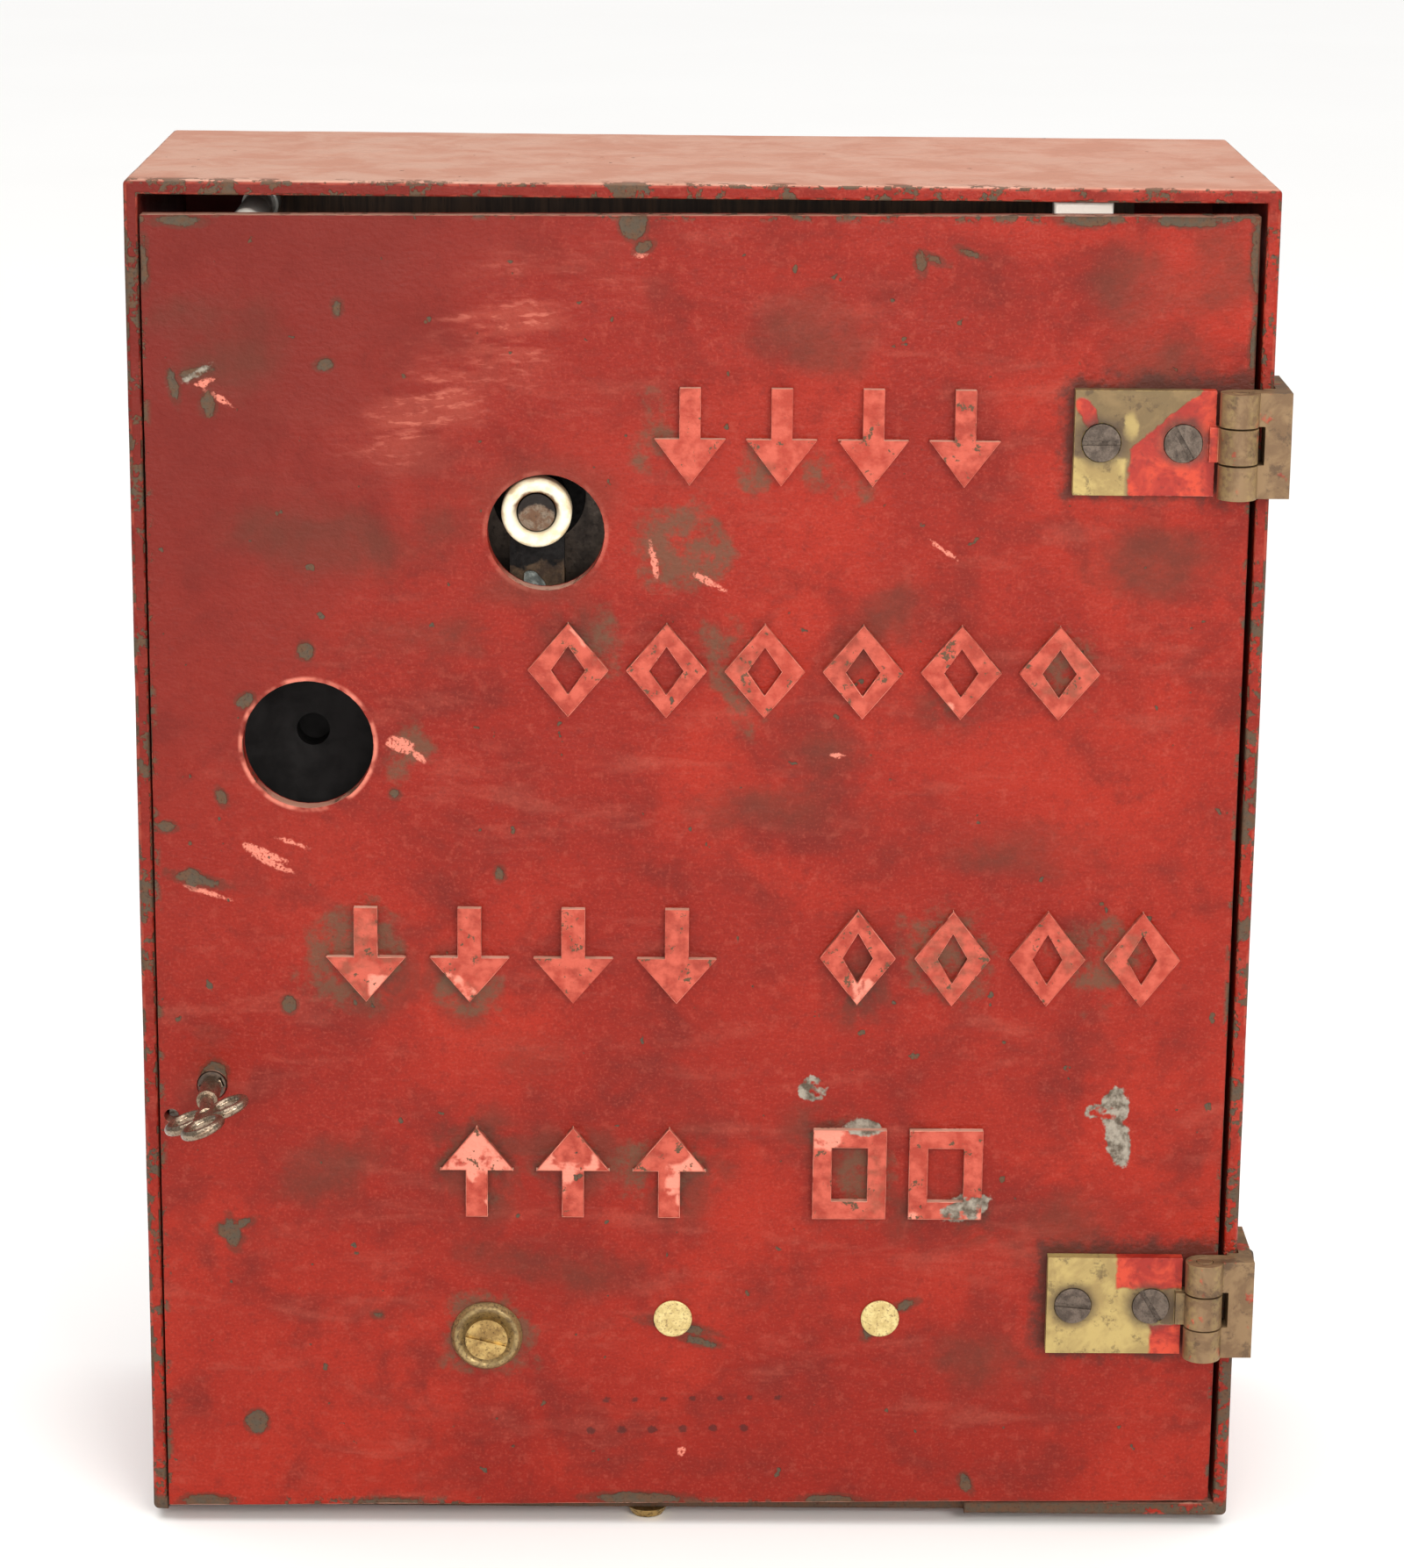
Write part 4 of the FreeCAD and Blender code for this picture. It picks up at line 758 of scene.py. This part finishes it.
DOOR_PAINT = paint("door_paint", True)
CASE_PAINT = paint("case_paint", False)
HINGE = hinge_metal()
BRASS = metal("aged_brass", (0.50, 0.35, 0.13), (0.27, 0.17, 0.062), (0.085, 0.048, 0.022), 3.4)
OLIVE_BRASS = metal("olive_brass", (0.33, 0.235, 0.10), (0.16, 0.105, 0.045),
                    (0.060, 0.034, 0.018), 3.0, metallic=0.6)
YELLOW_BRASS = metal("yellow_brass", (0.66, 0.54, 0.24), (0.50, 0.38, 0.15),
                     (0.17, 0.100, 0.045), 2.4, metallic=0.45)
DARK_PLATE = metal("smoked_brass", (0.085, 0.058, 0.042), (0.042, 0.028, 0.021),
                   (0.018, 0.012, 0.009), 6.0, shine=(0.35, 0.55), metallic=0.4)
STEEL = metal("old_steel", (0.38, 0.35, 0.32), (0.19, 0.16, 0.13), (0.07, 0.045, 0.030), 6.0)
ARBOR = arbor_end()
SCREWS = metal("dark_screws", (0.120, 0.088, 0.066), (0.058, 0.040, 0.029),
               (0.026, 0.017, 0.012), 2.0, shine=(0.45, 0.65), metallic=0.3)
NICKEL = metal("key_nickel", (0.33, 0.255, 0.185), (0.17, 0.115, 0.078), (0.065, 0.040, 0.026),
               2.6, shine=(0.16, 0.34), metallic=0.85)
IRON = plain("black_iron", *IRON_TONES, 9.0, 0.70, 0.04, specular=0.12)
BLUE_STEEL = metal("blue_steel", (0.30, 0.33, 0.31), (0.050, 0.064, 0.060),
                   (0.028, 0.034, 0.032), 6.0, shine=(0.25, 0.4), metallic=0.3)
GREASE = greasy_iron()
IVORY = ivory()
PORCELAIN = plain("porcelain", (0.93, 0.91, 0.86), (0.84, 0.81, 0.74), 9.0, 0.22, 0.02, coat=0.4)
RUBBER = plain("hard_rubber", (0.035, 0.024, 0.020), (0.014, 0.010, 0.009), 6.0, 0.42, 0.05)
WOOD = wood()
WIRE = braid()

# ---- pieces that get rounded edges ---------------------------------------------------------------
worn(
    "door_panel", DOOR_PAINT, 0.55, 3, 2.4, 0.22, 26.0,
    finer=DOOR_CHIPS + GREY_SPOTS + PINK_SPOTS + DOTS, fields=door_fields,
)
worn("case_shell", CASE_PAINT, 0.60, 3, 7.0, 0.30, 42.0)
for label in ("door_hinge_upper", "door_hinge_lower", "case_hinge_upper", "case_hinge_lower"):
    worn(label, HINGE, 0.20, 2, 3.0, 0.12, 12.0)
worn("hinge_pins", HINGE, 0.20, 2)
for label in ("door_hinge_screws", "case_hinge_screws"):
    worn(label, SCREWS, 0.22, 2)
worn("dished_washer", OLIVE_BRASS, 0.25, 2)
worn("bracket_screw", BRASS, 0.22, 2)
worn("bracket_rivets", YELLOW_BRASS, 0.20, 2)
worn("guide_collar", IVORY, 0.35, 3)
worn("door_key", NICKEL, 0.25, 2)
worn("lock_plug", lock_face(), 0.20, 2)
worn("handle_socket", IRON, 0.40, 2)
worn("arrester_base", PORCELAIN, 0.40, 2)
worn("porcelain_knob", PORCELAIN, 0.20, 2)


sleeve_catch()

LOOK = {
    "mounting_board": WOOD, "board_screws": BRASS, "floor_screws": BRASS, "cable_bushing": RUBBER,
    "movement_front_plate": DARK_PLATE, "movement_back_plate": DARK_PLATE, "movement_pillars": BRASS,
    "movement_feet": BRASS, "movement_nuts": BRASS, "guide_sleeve": GREASE, "click_screw": STEEL,
    "click_spring": STEEL, "click": STEEL, "lever_stud": STEEL, "spring_post": STEEL,
    "lever_spring": STEEL, "contact_block": RUBBER, "contact_screws": BRASS,
    "fixed_contact": BRASS, "contact_spring": BRASS, "arrester_plates": BRASS,
    "arrester_screws": BRASS, "brass_posts": BRASS, "terminal_block": RUBBER,
    "binding_posts": BRASS, "line_wires": WIRE, "inner_bracket": STEEL, "lock_case": STEEL,
    "lock_screws": SCREWS, "lock_bolt": BRASS, "spring_barrel": BRASS, "great_wheel": BRASS,
    "mainspring": STEEL, "winding_arbor": ARBOR, "ratchet_wheel": STEEL, "second_arbor": STEEL,
    "second_wheel": BRASS, "code_wheel": BRASS, "fly_arbor": STEEL, "fly_vane": BRASS,
    "pull_lever": IRON,
}
for label, look in LOOK.items():
    finish_node(label, look)

# ---- floor, light and camera ---------------------------------------------------------------------
scene = bpy.context.scene
bm = bmesh.new()
bmesh.ops.create_grid(bm, x_segments=8, y_segments=8, size=6.0)
ground_mesh = bpy.data.meshes.new("floor")
bm.to_mesh(ground_mesh)
bm.free()
ground = bpy.data.objects.new("floor", ground_mesh)
ground.location = (0.0, 0.0, CAD_BOX[0].z - FLOOR_GAP * MM)
scene.collection.objects.link(ground)
floor_look = Shade("floor_paper")
ground_mesh.materials.append(
    floor_look.done(
        floor_look.mix(floor_look.noise(300.0), (0.90, 0.895, 0.885), (0.93, 0.925, 0.915)),
        0.85, specular=0.2,
    )
)


def area(name, place, aim, size, power, tint):
    """A soft rectangular light that looks at a point."""
    light = bpy.data.lights.new(name, "AREA")
    light.shape = "RECTANGLE"
    light.size, light.size_y = size
    light.energy = power
    light.color = tint
    lamp = bpy.data.objects.new(name, light)
    lamp.location = place
    direction = Vector(aim) - Vector(place)
    lamp.rotation_euler = direction.to_track_quat("-Z", "Y").to_euler()
    scene.collection.objects.link(lamp)


area("overhead", (-0.15, -0.35, 1.30), (0.0, -0.05, 0.0), (1.6, 1.2), 4.5, (1.0, 0.97, 0.92))
area("front", (-0.10, -1.70, 0.36), (0.0, -0.08, 0.03), (1.1, 0.4), 11.0, (1.0, 0.960, 0.905))
area("right", (0.70, -1.45, 0.80), (0.0, -0.08, 0.0), (0.8, 0.5), 15.0, (1.0, 0.965, 0.915))
sun = bpy.data.lights.new("ceiling", "SUN")
sun.energy = 2.5
sun.angle = math.radians(80)
ceiling = bpy.data.objects.new("ceiling", sun)
scene.collection.objects.link(ceiling)

world = bpy.data.worlds.new("studio")
world.use_nodes = True
sky = world.node_tree.nodes["Background"]
sky.inputs["Color"].default_value = (1.0, 0.99, 0.975, 1.0)
sky.inputs["Strength"].default_value = 0.27
scene.world = world
scene.view_settings.view_transform = "Standard"
scene.view_settings.look = "None"

CAMERA_PLACE = Vector((-0.0064, -0.8980, 0.2313))
lens = bpy.data.cameras.new("camera")
lens.lens = 100.3
lens.sensor_width = 36.0
lens.clip_start, lens.clip_end = 0.01, 50.0
camera = bpy.data.objects.new("camera", lens)
right = Vector((0.9999, -0.0064, 0.0096))
up = Vector((-0.0077, 0.2535, 0.9673))
back = right.cross(up).normalized()
up = back.cross(right).normalized()
right = up.cross(back)
camera.matrix_world = Matrix(
    [
        (right.x, up.x, back.x, CAMERA_PLACE.x),
        (right.y, up.y, back.y, CAMERA_PLACE.y),
        (right.z, up.z, back.z, CAMERA_PLACE.z),
        (0.0, 0.0, 0.0, 1.0),
    ]
)
scene.collection.objects.link(camera)
scene.camera = camera
